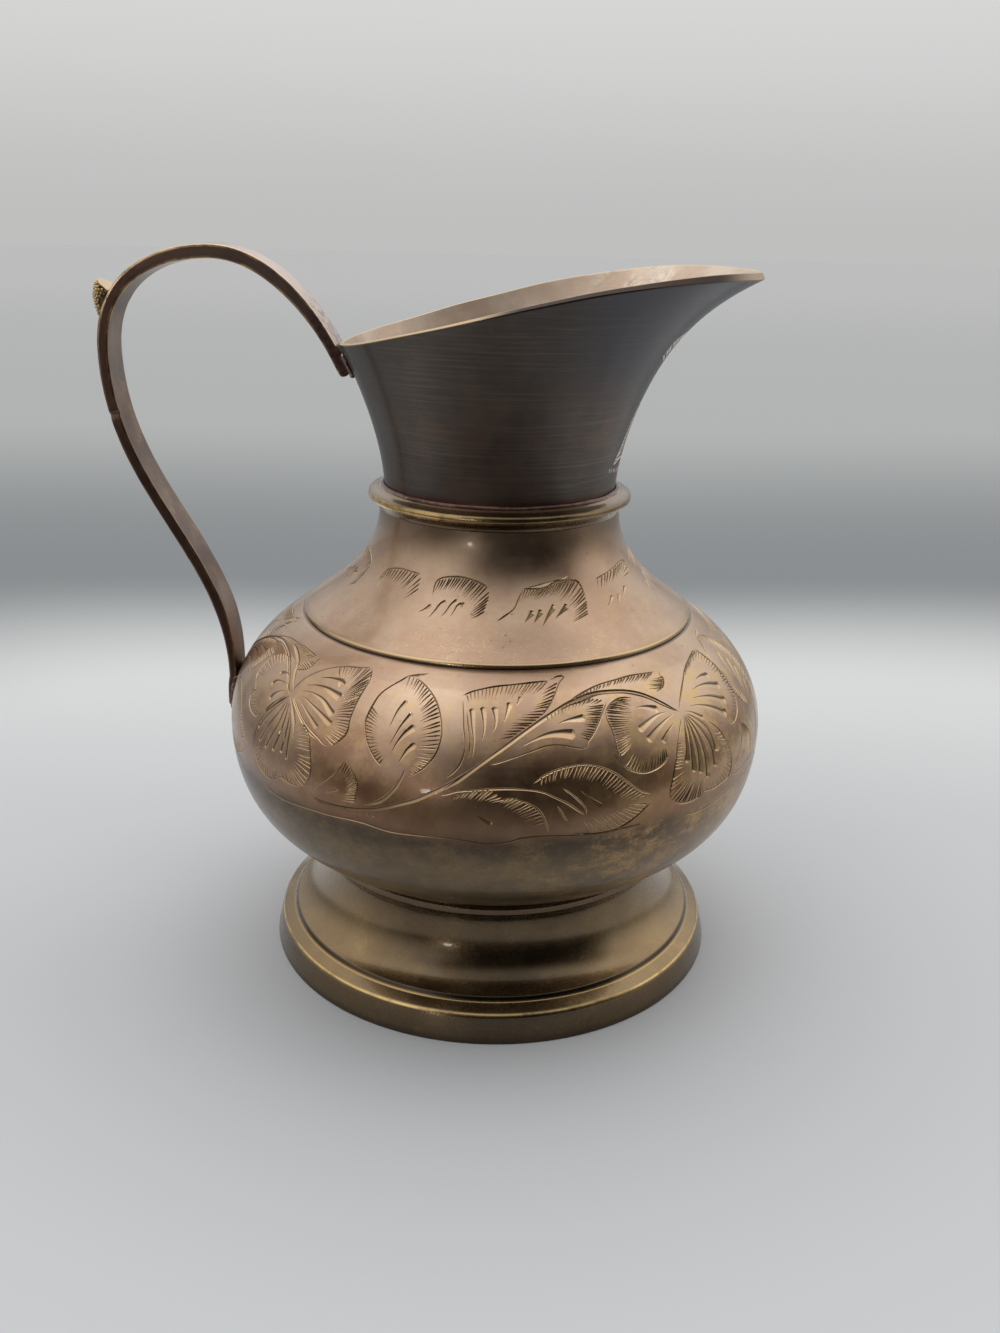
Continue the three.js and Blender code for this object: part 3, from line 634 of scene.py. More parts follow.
SPRAY = [
    stem(35.4,-4.2, 38.2,-3.4, 42.3,-2.5),
    line(36.1,-3.8, 33.8,-6, 31.5,-8.1, 29.5,-10.7, 28.8,-13.5, 28.4,-16.7, 28.6,-18.9, 30,-22,
        31.8,-24.6, 33.4,-26.3, 35.9,-28.4),
    line(38.7,-4.4, 42.4,-6.3, 45.3,-8.6, 47.4,-11.2, 49,-14.6, 49.9,-17.9, 49.9,-20.4, 49.3,-23.3,
        47.7,-25.9, 45.5,-28.1, 43,-29.8),
    hatch(24, [35.8,-4.3, 38.7,-4.6, 42.5,-6.5, 45.2,-8.9, 47.2,-11.3, 48.7,-14.6, 49.5,-18,
        49.5,-20.7, 48.8,-23.3, 48.3,-25.2], [36.4,-8.6, 37.7,-8.4, 39.7,-9.6, 41.3,-11.1,
        42.6,-12.9, 43.5,-15.6, 43.6,-18.6, 43.7,-21.1, 43.7,-23.3, 43.8,-25.1]),
    hatch(9, [48.3,-25.2, 47,-26.5, 45.5,-28, 44,-29.1], [44.7,-25, 44,-26.3, 43.3,-27.2,
        42.8,-28.1]),
    hatch(17, [28.7,-13.9, 28.5,-16.9, 28.7,-18.9, 29.8,-21.6, 31.3,-24.1, 33.1,-26, 35.4,-28],
        [32.3,-16.4, 32.4,-18.2, 32.6,-20.3, 33.3,-22.2, 34.4,-23.7, 35.7,-25.1, 36.4,-26.2]),
    gouge(1.6, 35.6,-18.6, 36,-16.5, 36.5,-13.9, 37.7,-11.4),
    gouge(1.8, 36.8,-23, 37.7,-20.5, 38.7,-17.6, 40.3,-14.5),
    gouge(2.2, 37.7,-25, 38.6,-22.2, 40,-19.5, 41.7,-17.5),
    gouge(1.8, 39.8,-27.4, 40.8,-25.1, 41.7,-23.2, 42.9,-21.8),
    stem(41.9,-27.7, 41.6,-29.4, 40.8,-31, 39.4,-33.4, 36.5,-36.4, 32.2,-38.7),
    line(25.9,-28.8, 27.8,-30.4, 29.4,-32.3, 30.2,-34, 29.9,-36.4, 29.6,-38.9),
    line(25.9,-28.8, 24.8,-30.8, 23.3,-33.1, 20.9,-35.5, 17.3,-38.7),
    hatch(15, [26,-29.1, 27.8,-30.6, 29.3,-32.3, 30.1,-34, 29.9,-36.4, 29.6,-38.8], [24.7,-33.4,
        25.8,-33.9, 26.6,-34.8, 27,-36, 26.5,-37.4, 25.8,-39.2]),
    gouge(1, 21,-38.2, 22.6,-37.4, 24.4,-36.3),
    stem(16.7,-40.5, 19.9,-41, 24,-40.9, 28.9,-40.3, 32.6,-39.6, 37,-38.3, 41.2,-36.5, 45.3,-34.7,
        49.2,-32.4, 53,-30.1, 56.8,-27.5, 60.5,-24.8),
    stem(51.1,-32.2, 54.9,-29.3, 58.7,-26.2, 62.6,-23.2, 66.7,-20.3, 71,-17.3, 75.7,-14.4,
        80.3,-12, 84.1,-10.3, 88,-9.1, 92,-8.3, 96.5,-8.2, 103,-9, 108.1,-10.7, 112.5,-13.5,
        116.6,-17, 118.4,-18.4),
    line(80.7,-12.4, 84.9,-10.9, 88.6,-10.3, 94.4,-9, 102.6,-9.7, 109,-12.1, 113.3,-15.2,
        117.6,-18.1),
    hatch(6, [25.8,-40.5, 28,-40.6, 30.1,-40.8, 32.1,-40.5, 33.9,-40.7, 35.9,-41], [25.7,-41.6,
        27.4,-41.6, 29.6,-41.8, 31.4,-41.6, 33.2,-41.6, 35.2,-41.8]),
    line(54,-8.1, 57,-6.6, 62.9,-5.1, 68,-4.5, 74.8,-3.9, 80.4,-3.6),
    line(54.3,-9.3, 55,-13.3, 55.4,-16.3, 56.2,-20.3, 56.1,-23.2, 55,-26.1, 52.1,-29.2),
    line(55.8,-12.3, 56.6,-16.2, 57.4,-20.3, 57.3,-24.3),
    line(80.4,-3.6, 83.2,-2.5, 85.7,-2.6, 83.5,-4.3, 81.3,-7.4, 78.6,-10.9, 75.8,-13.7),
    hatch(21, [54.8,-8.4, 57,-6.7, 62.9,-5.2, 68,-4.6, 74.8,-4, 80.1,-3.8], [55.5,-10.2, 58.6,-10,
        62.5,-9.4, 66.8,-8.6, 71.2,-7.9, 75.3,-7.5]),
    hatch(17, [83,-4.1, 81.4,-6.9, 79.9,-9.4, 77.9,-11.8, 75.3,-13.9, 72.9,-15.5, 70.1,-17.2,
        67.7,-18.8], [78.3,-6, 76.6,-8.5, 75.3,-10.3, 73.2,-11.8, 70.3,-13.5, 68,-15.2, 65.8,-17.1,
        64.1,-19.6]),
    gouge(1.9, 58.2,-23.8, 58.3,-20.2, 57.5,-16.1, 56.7,-12.2),
    gouge(1.9, 60.4,-19.8, 60.7,-17.3, 60.4,-14.7, 59.7,-11.7),
    gouge(1.9, 62.9,-17.6, 63.6,-15.9, 63.5,-13.8, 62.9,-11.6),
    gouge(1.8, 66.1,-15, 66.4,-13.3, 66.7,-11.8, 67,-10.1),
    gouge(1.6, 69.4,-10.8, 69.9,-9.5, 70.4,-8.3),
    line(84.7,-10, 89.5,-8, 95.7,-6.3, 102.1,-5.7, 108.8,-5.4, 117.9,-6.2),
    line(120.3,-5.7, 119.3,-7.6, 119.4,-9, 117.2,-10.8, 113.6,-11.6),
    hatch(24, [85.8,-9.5, 89.4,-8.2, 95.6,-6.5, 101.9,-5.9, 108.6,-5.6, 117.3,-6.4], [86,-10.7,
        89.6,-9.1, 94,-8.1, 100.4,-7.5, 106.5,-7.5, 112.5,-8.4]),
    hatch(6, [119.9,-8, 119.4,-9, 118.3,-10, 116.5,-11.1], [115.2,-7.7, 113.5,-8.4, 112,-9.4,
        110.9,-10.4]),
    line(87.6,-21.9, 86.1,-22.2, 84.4,-21.9, 80.2,-20.9, 76.7,-20.9, 73.3,-21.9, 68.7,-23.4,
        62.6,-25.3),
    line(96.2,-11.2, 94.7,-12.9, 91.9,-16.3, 89.8,-18.8, 87.4,-21.1, 87.6,-22),
    hatch(15, [77.4,-13.8, 80.2,-12.5, 84,-10.8, 88.8,-9.9, 92.9,-10.1, 95.5,-10.9], [77.8,-15.9,
        80.5,-14.4, 82.5,-13.9, 87.1,-12, 89.9,-11.2, 92.3,-11.7]),
    hatch(15, [95.2,-11.7, 93,-14.5, 91.3,-16.7, 89.5,-18.8, 87.9,-20.7], [89.2,-11.6, 88.2,-13.9,
        87.2,-15.8, 86.1,-17.6, 85,-19.6]),
    gouge(2, 80,-15.8, 82,-15, 84.5,-14.5, 87.5,-14.1),
    gouge(2.8, 70.6,-20.8, 73.5,-19.2, 77.1,-17.9, 80.7,-17.5, 83.8,-17.7),
    line(73,-29.7, 75.4,-28.1, 78.7,-26.8, 82.1,-26.2, 85.9,-26.1, 89.7,-27.1, 93.5,-29.1,
        96.8,-32, 99.9,-34.6, 103.1,-36.2),
    line(103,-38.2, 100.9,-39.8, 97.7,-41.9, 94.7,-43.3, 91.2,-43.9, 86.9,-43.7, 82.7,-43),
    hatch(30, [74.6,-28.7, 78.7,-26.9, 82.1,-26.4, 85.9,-26.2, 89.7,-27.2, 93.4,-29.3, 96.8,-32.2,
        99.9,-34.8, 101.8,-36.1], [74.7,-30.5, 77.1,-29.6, 80,-29.2, 83.5,-29.3, 86.8,-30.3,
        89.7,-32, 93,-34.4, 95.7,-36.3, 97.5,-37]),
    hatch(14, [102.3,-38.1, 100.8,-39.7, 97.7,-41.8, 94.7,-43.1, 91.2,-43.7, 86.9,-43.5],
        [97.5,-37.2, 96.1,-37.9, 93.5,-38.5, 90.4,-39.4, 87.7,-39.6, 84.2,-39.6]),
    line(79.9,-31.2, 82.1,-32.8, 84.5,-35.3, 85.7,-37.4, 85.6,-38.6),
    gouge(1.2, 84.2,-32, 85.8,-33.4, 87.4,-34.7, 89.3,-36.1),
    line(51.1,-33.4, 55,-32, 58.5,-31.5, 62.8,-31, 68.6,-30.9, 74.5,-31.7, 78.4,-33.5, 81.6,-35.4,
        85.4,-38.5),
    line(67.9,-33.1, 71.4,-34.3, 74.1,-36.1, 75.7,-38.8, 76.7,-42.4),
    hatch(13, [53.5,-34.1, 55.8,-32.4, 58.9,-31.6, 62.8,-31.2, 65.1,-32.8, 66.7,-33.5],
        [53.2,-34.5, 54.9,-33.9, 57,-33.6, 59.8,-34.1, 61.5,-34, 63.2,-34.4]),
    hatch(13, [66.7,-33.2, 68.8,-33.1, 71.4,-34.3, 73.7,-35.9, 74.9,-37.7, 75.7,-39.9],
        [64.4,-34.3, 65.6,-34.9, 66.9,-36, 68.3,-37.4, 70.3,-38.8, 71.7,-40.5]),
    gouge(1.2, 59.6,-37.4, 61,-38.2, 63.1,-39.2),
    line(78.4,-35.2, 79.4,-36.7, 80.1,-38.2, 81.4,-39.8),
    line(-3.9,-45, 1,-45.5, 6.9,-45.5, 14.6,-44.7, 22.3,-44.2, 27.8,-43.7, 32.5,-43.7, 39,-44.5,
        48.6,-44.2, 55.3,-44.2),
    line(51.3,-44.3, 55.2,-44.3, 59.1,-44.7, 62.3,-45.2, 66.9,-44.7, 70.8,-43.5, 76.7,-43.2,
        86.9,-43.9, 93.4,-43.8, 100.7,-43.5),
]

RIGHT_FLOWER = [
    line(-14.1,7, -17.8,7.5, -21.1,6.6, -23.4,5, -24.1,2.8, -23.6,0.5, -23.4,-2.5, -23.4,-5.3,
        -23,-7.2),
    line(-25,-5.8, -22.4,-9.3, -20.2,-10.9, -17.5,-12, -14.5,-12, -11.2,-11.1, -8.9,-9.7),
    hatch(24, [-18.4,7.3, -21.2,6.4, -23.2,4.9, -23.8,2.9, -23.5,0.5, -23.4,-2.5, -23.3,-5.3,
        -22.5,-7], [-14.4,6.5, -14.9,5.6, -15.7,4.2, -16.4,2.3, -17.1,0.6, -17.8,-1.5, -18.7,-3.6,
        -18.9,-5.1]),
    hatch(15, [-22.1,-9, -20.2,-10.7, -17.5,-11.9, -14.5,-11.8, -11.4,-11, -9.1,-9.5], [-18.8,-6.1,
        -17.4,-7.4, -15.6,-7.9, -13.7,-8.1, -11.2,-7.5, -9,-6.6]),
    gouge(2.2, -14.9,4, -12.7,4.2, -10.3,3.9, -7.8,3.1),
    gouge(2.4, -4.3,1.1, -8.3,1.2, -12,0.4, -15.3,-0.6),
    gouge(2.4, -2.7,0.1, -6.2,-0.6, -10.2,-1.9, -13.7,-3.5),
    gouge(2, -3.4,-1.5, -5.2,-2.6, -7.3,-3.6, -9.5,-5.1),
    line(-0.3,0.5, 3.5,4.1, 8,7.3, 13.2,10.1, 19.9,11.9, 26.1,13),
    line(26.1,13, 27.3,9.7, 28.4,6.7, 28.7,3.9, 28.5,0.6, 28.5,-2.3, 27.1,-4.9, 24.8,-7.4, 21,-9,
        17,-8.1, 12.9,-6.4),
    hatch(22, [12.7,10, 19.6,11.8, 25.5,12.4, 27,9.5, 28,6.7, 28.5,4.1], [8.7,7.6, 12.9,8.5,
        17.5,9.3, 22.2,8.1, 23.9,6.3, 23.6,4.2]),
    hatch(16, [28.4,3.5, 28.3,0.5, 28.2,-2.3, 26.9,-4.8, 24.5,-7.3, 21,-8.8], [25.3,2.7, 23.5,0.8,
        24.6,-1.4, 23.2,-3.5, 20.7,-5.6, 18.3,-6.5]),
    gouge(2.4, 12.9,5.8, 15.3,6.2, 17.7,6.2, 20.2,5.8),
    gouge(2.4, 8.6,3.9, 12.9,4.2, 17.4,3.6, 22,2.1),
    gouge(2.6, 6.8,2.1, 11.2,1.5, 15.7,0.3, 20.7,-1.9),
    gouge(2.6, 4.1,0.6, 8.7,-0.3, 13.2,-2, 18.1,-4.7),
    gouge(1.4, 1.2,-0.1, 3.5,-0.8, 5.3,-1.8, 7.3,-3.1),
    line(-0.6,-1.4, -4.5,-6.5, -6.9,-11.4, -8.5,-15, -9.7,-19.2, -8.2,-21.8),
    line(-8.2,-21.8, -5.6,-22.8, -2.5,-23.3, 0.7,-23.1, 2.9,-22.2, 6.6,-22.7, 10.7,-22.5,
        14.3,-21.8, 15.6,-19, 15.5,-15.4, 13.9,-11.8, 12.1,-8.1, 9.1,-4.9),
    hatch(8, [-4.5,-6.9, -5.8,-9.1, -6.9,-11.4, -7.7,-13.4], [-2.7,-7.7, -3.4,-10.1, -4.1,-12.1,
        -4.8,-13.8]),
    hatch(16, [-8.5,-15, -9.6,-19.2, -7.7,-21.9, -3.6,-23, 0.7,-23, 2.9,-22.1], [-3.6,-14.1,
        -2.7,-15.4, -2.3,-16.7, -0.7,-17.5, 1.2,-17.7, 2.1,-16.8]),
    hatch(20, [3.2,-22.1, 6.6,-22.6, 10.5,-22.4, 13.9,-21.6, 15.3,-18.8, 15.1,-15.4, 13.8,-11.8,
        12.2,-8.5], [2.9,-18.2, 5,-19.1, 6.9,-19, 9.2,-18.2, 11.4,-16.8, 11.5,-14.3, 10.7,-11.5,
        9.2,-8.5]),
    gouge(2, 0.4,-1.2, -1.3,-5, -2.3,-8.5, -3.5,-11.9),
    gouge(2.2, 0.5,-1.1, -0.1,-5.4, -0.9,-9.6, -1.5,-14.9),
    gouge(2.4, 0.7,-1, 1.2,-5.7, 1.4,-10.6, 1,-16),
    gouge(2.6, 1,-1, 2.8,-6.1, 3.7,-11.7, 3.8,-18.1),
    gouge(2.8, 1.4,-0.9, 4.9,-6.3, 7,-11.1, 7.2,-16.1),
    gouge(2.4, 1.9,-0.9, 5.2,-3.7, 7.8,-6.9, 8.7,-12.4),
]

SHOULDER_LEAF_A = [
    line(-9,19.3, -7.5,22.8, -2.2,24.3, 3.2,24.4, 8.2,24.2),
    hatch(15, [-8.7,20, -6.9,22.8, -2,24.1, 3.3,24.2, 7.9,23.9, 8.8,21.8, 9.4,19.6], [-7.2,16.5,
        -6.5,19.2, -3.4,19.8, 0,19.9, 4.2,19, 5.5,18.1, 5.7,16.3]),
]

SHOULDER_LEAF_B = [
    line(-9.2,19.1, -8.8,23.6, -2,25, 4.4,24.3, 8.9,22.7),
    hatch(17, [-8.4,23.5, -4.7,24.3, -0.5,24.8, 4.4,24.1, 8.5,22.6], [-9.1,19.6, -6.4,20.7,
        -3,21.1, 0.1,20.2, 3.5,17.4]),
    hatch(6, [8.9,22.1, 8.9,19.6, 8.3,17.7, 7.8,15.4], [3.9,17.1, 3.8,15.7, 3.7,14.5, 3.6,12.8]),
    gouge(1.2, -11.7,13.8, -10.1,15, -8.9,16.4),
    gouge(1.6, -7.9,12.6, -6.8,14.9, -5.9,17.1, -4.7,18.1),
    gouge(1.6, -4.4,13.4, -3.3,15.3, -2.5,17.3, -1.2,18.7),
    gouge(1.6, -1.7,13.7, -1,15.6, -0.2,17.6, 1.4,18),
]

SHOULDER_LEAF_C = [
    line(-8.4,22.4, -10.1,20, -12,16.9, -14.3,15.2, -17.1,13.2),
    stem(-7.6,22.6, -0.5,23.8, 8.1,24.9),
    line(-8.8,22.4, -1.5,22.4, 3.2,23.9, 9.3,23.7, 11.8,22.4, 12.2,18.1),
    hatch(20, [-8.4,22.4, -1.5,22.4, 3.1,23.8, 9.2,23.6, 11.6,22.3], [-10.6,18.3, -7.4,19.2,
        -3.6,19.2, 0.4,19.2, 4.6,17.7]),
    hatch(9, [11.6,21.7, 12,18.1, 11,15.7, 10.1,13.4], [4.5,17.4, 5.1,15.6, 4.8,13.3, 4.3,11.5]),
    gouge(1.8, -9.3,12.9, -8.4,14.3, -7.1,16),
    gouge(1.8, -6.8,12.7, -5.8,14.2, -4.5,16.1),
    gouge(1.8, -4.5,11.6, -2.5,14.6, -0.1,17.3),
    gouge(1.8, -0.2,13.7, 1.8,15.4, 4,17.1),
]

SHOULDER_LEAF_D = [
    hatch(13, [-10,22.9, -3.1,23.4, 9.7,24.7, 11.2,22.5, 8.5,20.3], [-11.8,19.7, -8.5,19.8,
        -2.6,20.3, 2.8,20.9, 4.9,20.8]),
    line(-10.6,22.7, -2.9,23.6, 10.2,24.7, 9,20.8),
    gouge(1.2, -11.5,14.5, -9.4,15.6, -7.4,17.1),
    gouge(1.2, -7.2,13.9, -5.5,15.4, -4.1,16.9),
    gouge(1.2, -3.2,15.6, -1,17, 1.2,18.3),
]

# Engraving. A stroke is a small height field in the unrolled surface: its points, how deep
# each one is, its triangles and the edges that the surface must follow.


# Steps along a cut, how near a plain point may lie, and the least width that has a depth
STROKE_STEP = 1.15
CLEARANCE = 0.45
LEAST_WIDTH = 0.06
# Widths of the cuts, and how deep each is: as a share of its width, or for a hatch in full
BLUNT_WIDTH = 0.9
LINE_WIDTH, LINE_DEPTH = 0.52, 0.36
STEM_WIDTH, STEM_DEPTH = 1.15, 0.2
GOUGE_TIP, GOUGE_DEPTH = 0.16, 0.13
HATCH_WIDTH, HATCH_DEPTH, HATCH_LEAST = 0.54, 0.20, 0.7


class Stroke:
    def __init__(self):
        self.points, self.depths, self.triangles, self.edges = [], [], [], []

    def add(self, place, depth):
        self.points.append((float(place[0]), float(place[1])))
        self.depths.append(depth)
        return len(self.points) - 1


def eased_path(points, step):
    """A smooth path through a guide's points, at about even steps."""
    points = np.asarray(points, float)
    if len(points) > 2:
        padded = np.vstack([2 * points[0] - points[1], points, 2 * points[-1] - points[-2]])
        t = np.linspace(0, 1, 8, endpoint=False)[:, None]
        runs = []
        for i in range(1, len(padded) - 2):
            a, b, c, d = padded[i - 1 : i + 3]
            bend, twist = 2 * a - 5 * b + 4 * c - d, 3 * b - a - 3 * c + d
            runs.append(0.5 * (2 * b + (c - a) * t + bend * t**2 + twist * t**3))
        points = np.vstack([*runs, points[-1:]])
    lengths = arc_lengths(points)
    count = max(2, int(round(lengths[-1] / step)) + 1)
    return at_lengths(np.linspace(0, lengths[-1], count), lengths, points)


def cut(path, widths, depths, steep=0.5):
    """One tool stroke along a path. steep is the share of its width on its left side."""
    path = np.asarray(path, float)
    along = np.gradient(path, axis=0)
    along /= np.linalg.norm(along, axis=1)[:, None] + 1e-12
    left = np.column_stack([-along[:, 1], along[:, 0]])
    stroke = Stroke()
    stations = []
    for i, place in enumerate(path):
        if widths[i] < LEAST_WIDTH:
            tip = stroke.add(place, 0.0)
            stations.append((tip, tip, tip))
            continue
        a = stroke.add(place + left[i] * widths[i] * steep, 0.0)
        m = stroke.add(place, depths[i])
        b = stroke.add(place - left[i] * widths[i] * (1 - steep), 0.0)
        stations.append((a, m, b))
    for one, two in zip(stations, stations[1:]):
        for k in range(3):
            if one[k] != two[k]:
                stroke.edges.append((one[k], two[k]))
        for k in (0, 1):
            for triangle in ((one[k], one[k + 1], two[k]), (one[k + 1], two[k + 1], two[k])):
                if len(set(triangle)) == 3:
                    stroke.triangles.append(triangle)
    for place, way in ((0, -1), (-1, 1)):
        a, m, b = stations[place]
        if a == m:
            continue
        # A blunt end is closed by a short round cap
        width = widths[place]
        steps = 6 if width > BLUNT_WIDTH else 2
        middle = path[place] + left[place] * width * (steep - 0.5)
        cap = [a]
        for k in range(1, steps):
            turn = math.pi * k / steps
            aside = left[place] * width / 2 * math.cos(turn)
            ahead = along[place] * way * width * 0.38 * math.sin(turn)
            cap.append(stroke.add(middle + aside + ahead, 0.0))
        cap.append(b)
        for one, two in zip(cap, cap[1:]):
            stroke.edges.append((one, two))
            stroke.triangles.append((one, two, m))
    return stroke


def eased_in(path, fade):
    """A guide as an even path, the share of the way at its points and how full a cut is."""
    path = eased_path(path, STROKE_STEP)
    share = np.linspace(0, 1, len(path))
    near_end = np.minimum(share, 1 - share) * len(path) * STROKE_STEP
    return path, share, np.clip(near_end / fade, 0, 1)


def line_cut(path, chance):
    """A continuous outline, cut with a narrow V graver."""
    path, share, full = eased_in(path, 2.2)
    uneven = 1 + 0.18 * np.sin(share * chance.uniform(9, 16) + chance.uniform(0, 6))
    width = LINE_WIDTH * uneven * (0.35 + 0.65 * full)
    width[0] = width[-1] = 0.0
    return [cut(path, width, width * LINE_DEPTH)]


def stem_cut(path, chance):
    """A stem: one broad facet cut with the graver held over to one side."""
    path, share, full = eased_in(path, 5)
    broad = STEM_WIDTH + 0.15 * np.sin(share * 7 + chance.uniform(0, 6))
    width = broad * (0.25 + 0.75 * full)
    width[0] = width[-1] = 0.0
    to_right = path[-1][0] > path[0][0]
    return [cut(path, width, width * STEM_DEPTH, 0.24 if to_right else 0.76)]


def gouge_cut(path, blunt, chance):
    """A flat-graver cut that widens to a round blunt end, deep along one edge."""
    path = eased_path(path, 1.1)
    share = np.linspace(0, 1, len(path))
    blunt *= chance.uniform(0.9, 1.08)
    width = GOUGE_TIP + (blunt - GOUGE_TIP) * share**1.2
    width[0] = 0.0
    rises = sum(path[-1] - path[0]) > 0
    return [cut(path, width, 0.05 + width * GOUGE_DEPTH, 0.22 if rises else 0.78)]


def hatch_cuts(outer, inner, count, chance):
    """Short strokes from an outer guide to an inner one, deep outside and fine inside."""
    outer, inner = eased_path(outer, 0.4), eased_path(inner, 0.4)
    outer_shares, inner_shares = np.linspace(0, 1, len(outer)), np.linspace(0, 1, len(inner))
    strokes = []
    for k in range(count):
        share = (k + 0.5 + chance.uniform(-0.16, 0.16)) / count
        start = at_lengths(share, outer_shares, outer)[0]
        slide = min(1, max(0, share + chance.uniform(-0.012, 0.012)))
        end = at_lengths(slide, inner_shares, inner)[0]
        end = start + (end - start) * chance.uniform(0.84, 1.08)
        length = np.linalg.norm(end - start)
        if length < HATCH_LEAST:
            continue
        side = np.array([-(end - start)[1], (end - start)[0]]) / length
        middle = (start + end) / 2 + side * chance.uniform(-0.03, 0.03) * length
        broad = HATCH_WIDTH * chance.uniform(0.86, 1.14)
        path = np.array([start, start * 0.7 + middle * 0.3, middle, end])
        widths = [broad * 0.7, broad, broad * 0.78, 0.0]
        depths = [0.65 * HATCH_DEPTH, HATCH_DEPTH, 0.65 * HATCH_DEPTH, 0.0]
        strokes.append(cut(path, widths, depths))
    return strokes


def cuts_from(drawing, move, chance):
    """Every guide of a drawing, moved on to the piece by move, with how it is cut."""
    makers = {"line": line_cut, "stem": stem_cut, "gouge": gouge_cut, "hatch": hatch_cuts}
    cuts = []
    for kind, extra, *guides in drawing:
        values = [move(np.array(guide, float).reshape(-1, 2)) for guide in guides]
        if extra:
            values.append(extra)
        cuts.append((kind, makers[kind], (*values, chance)))
    return cuts


def wrapped(kinds, low, high):
    """The strokes laid between low and high round the piece. Long lines stop at the back,
    under the handle, and shorter strokes that would cross there are left out."""
    around = high - low
    laid = []
    for kind, make, values in kinds:
        if kind in ("line", "stem"):
            path = eased_path(values[0], 0.5)
            for shift in (-around, 0, around):
                moved = path + (shift, 0)
                inside = (moved[:, 0] > low + 0.9) & (moved[:, 0] < high - 0.9)
                if inside.sum() > 4:
                    laid += make(moved[inside], *values[1:])
        else:
            for stroke in make(*values):
                xs = np.array(stroke.points)[:, 0]
                shift = -around if xs.min() > high else around if xs.max() < low else 0
                xs = xs + shift
                if xs.min() > low + 0.3 and xs.max() < high - 0.3:
                    stroke.points = [(x + shift, y) for x, y in stroke.points]
                    laid.append(stroke)
    return laid


def stroke_depths(strokes, places):
    """How deep each place lies under the plain surface, and how near a cut's deepest line."""
    depth = np.zeros(len(places))
    share = np.zeros(len(places))
    order = np.argsort(places[:, 0])
    ordered = places[order]
    for stroke in strokes:
        v = np.array(stroke.points)
        d = np.array(stroke.depths)
        e = (d > 0).astype(float)
        low, high = v.min(axis=0) - 1e-3, v.max(axis=0) + 1e-3
        first, last = np.searchsorted(ordered[:, 0], [low[0], high[0]])
        near = order[first:last]
        near = near[(places[near, 1] >= low[1]) & (places[near, 1] <= high[1])]
        if not len(near):
            continue
        p = places[near]
        for a, b, c in stroke.triangles:
            one, two = v[b] - v[a], v[c] - v[a]
            area = one[0] * two[1] - one[1] * two[0]
            if abs(area) < 1e-9:
                continue
            q = p - v[a]
            s = (q[:, 0] * two[1] - q[:, 1] * two[0]) / area
            t = (one[0] * q[:, 1] - one[1] * q[:, 0]) / area
            inside = (s > -1e-3) & (t > -1e-3) & (s + t < 1.001)
            if inside.any():
                here = d[a] + s[inside] * (d[b] - d[a]) + t[inside] * (d[c] - d[a])
                depth[near[inside]] = np.maximum(depth[near[inside]], here)
                here = e[a] + s[inside] * (e[b] - e[a]) + t[inside] * (e[c] - e[a])
                share[near[inside]] = np.maximum(share[near[inside]], here)
    return depth, share


def engraved_plane(strokes, columns, rows):
    """Triangles over a grid of the unrolled surface that follow every stroke. Also gives
    each point's depth and where the grid's points are among them."""
    grid = [(x, y) for y in rows for x in columns]
    border = [x in (columns[0], columns[-1]) or y in (rows[0], rows[-1]) for x, y in grid]
    places = np.array(grid)
    close = np.zeros(len(places), bool)
    order = np.argsort(places[:, 0])
    for stroke in strokes:
        v = np.array(stroke.points)
        low, high = v.min(axis=0) - 0.5, v.max(axis=0) + 0.5
        first, last = np.searchsorted(places[order, 0], [low[0], high[0]])
        near = order[first:last]
        near = near[(places[near, 1] > low[1]) & (places[near, 1] < high[1])]
        if len(near):
            gap = np.linalg.norm(places[near][:, None] - v[None], axis=2).min(axis=1)
            close[near[gap < CLEARANCE]] = True
    kept = [i for i in range(len(grid)) if border[i] or not close[i]]
    points = [grid[i] for i in kept]
    edges = []
    for stroke in strokes:
        first = len(points)
        points += stroke.points
        edges += [(first + a, first + b) for a, b in stroke.edges]
    made = delaunay_2d_cdt([Vector(p) for p in points], edges, [], 0, 2e-3)
    places = np.array([(p.x, p.y) for p in made[0]])
    found = {}
    for index, sources in enumerate(made[3]):
        for source in sources:
            if source < len(kept):
                found[kept[source]] = index
    return places, made[2], *stroke_depths(strokes, places), found


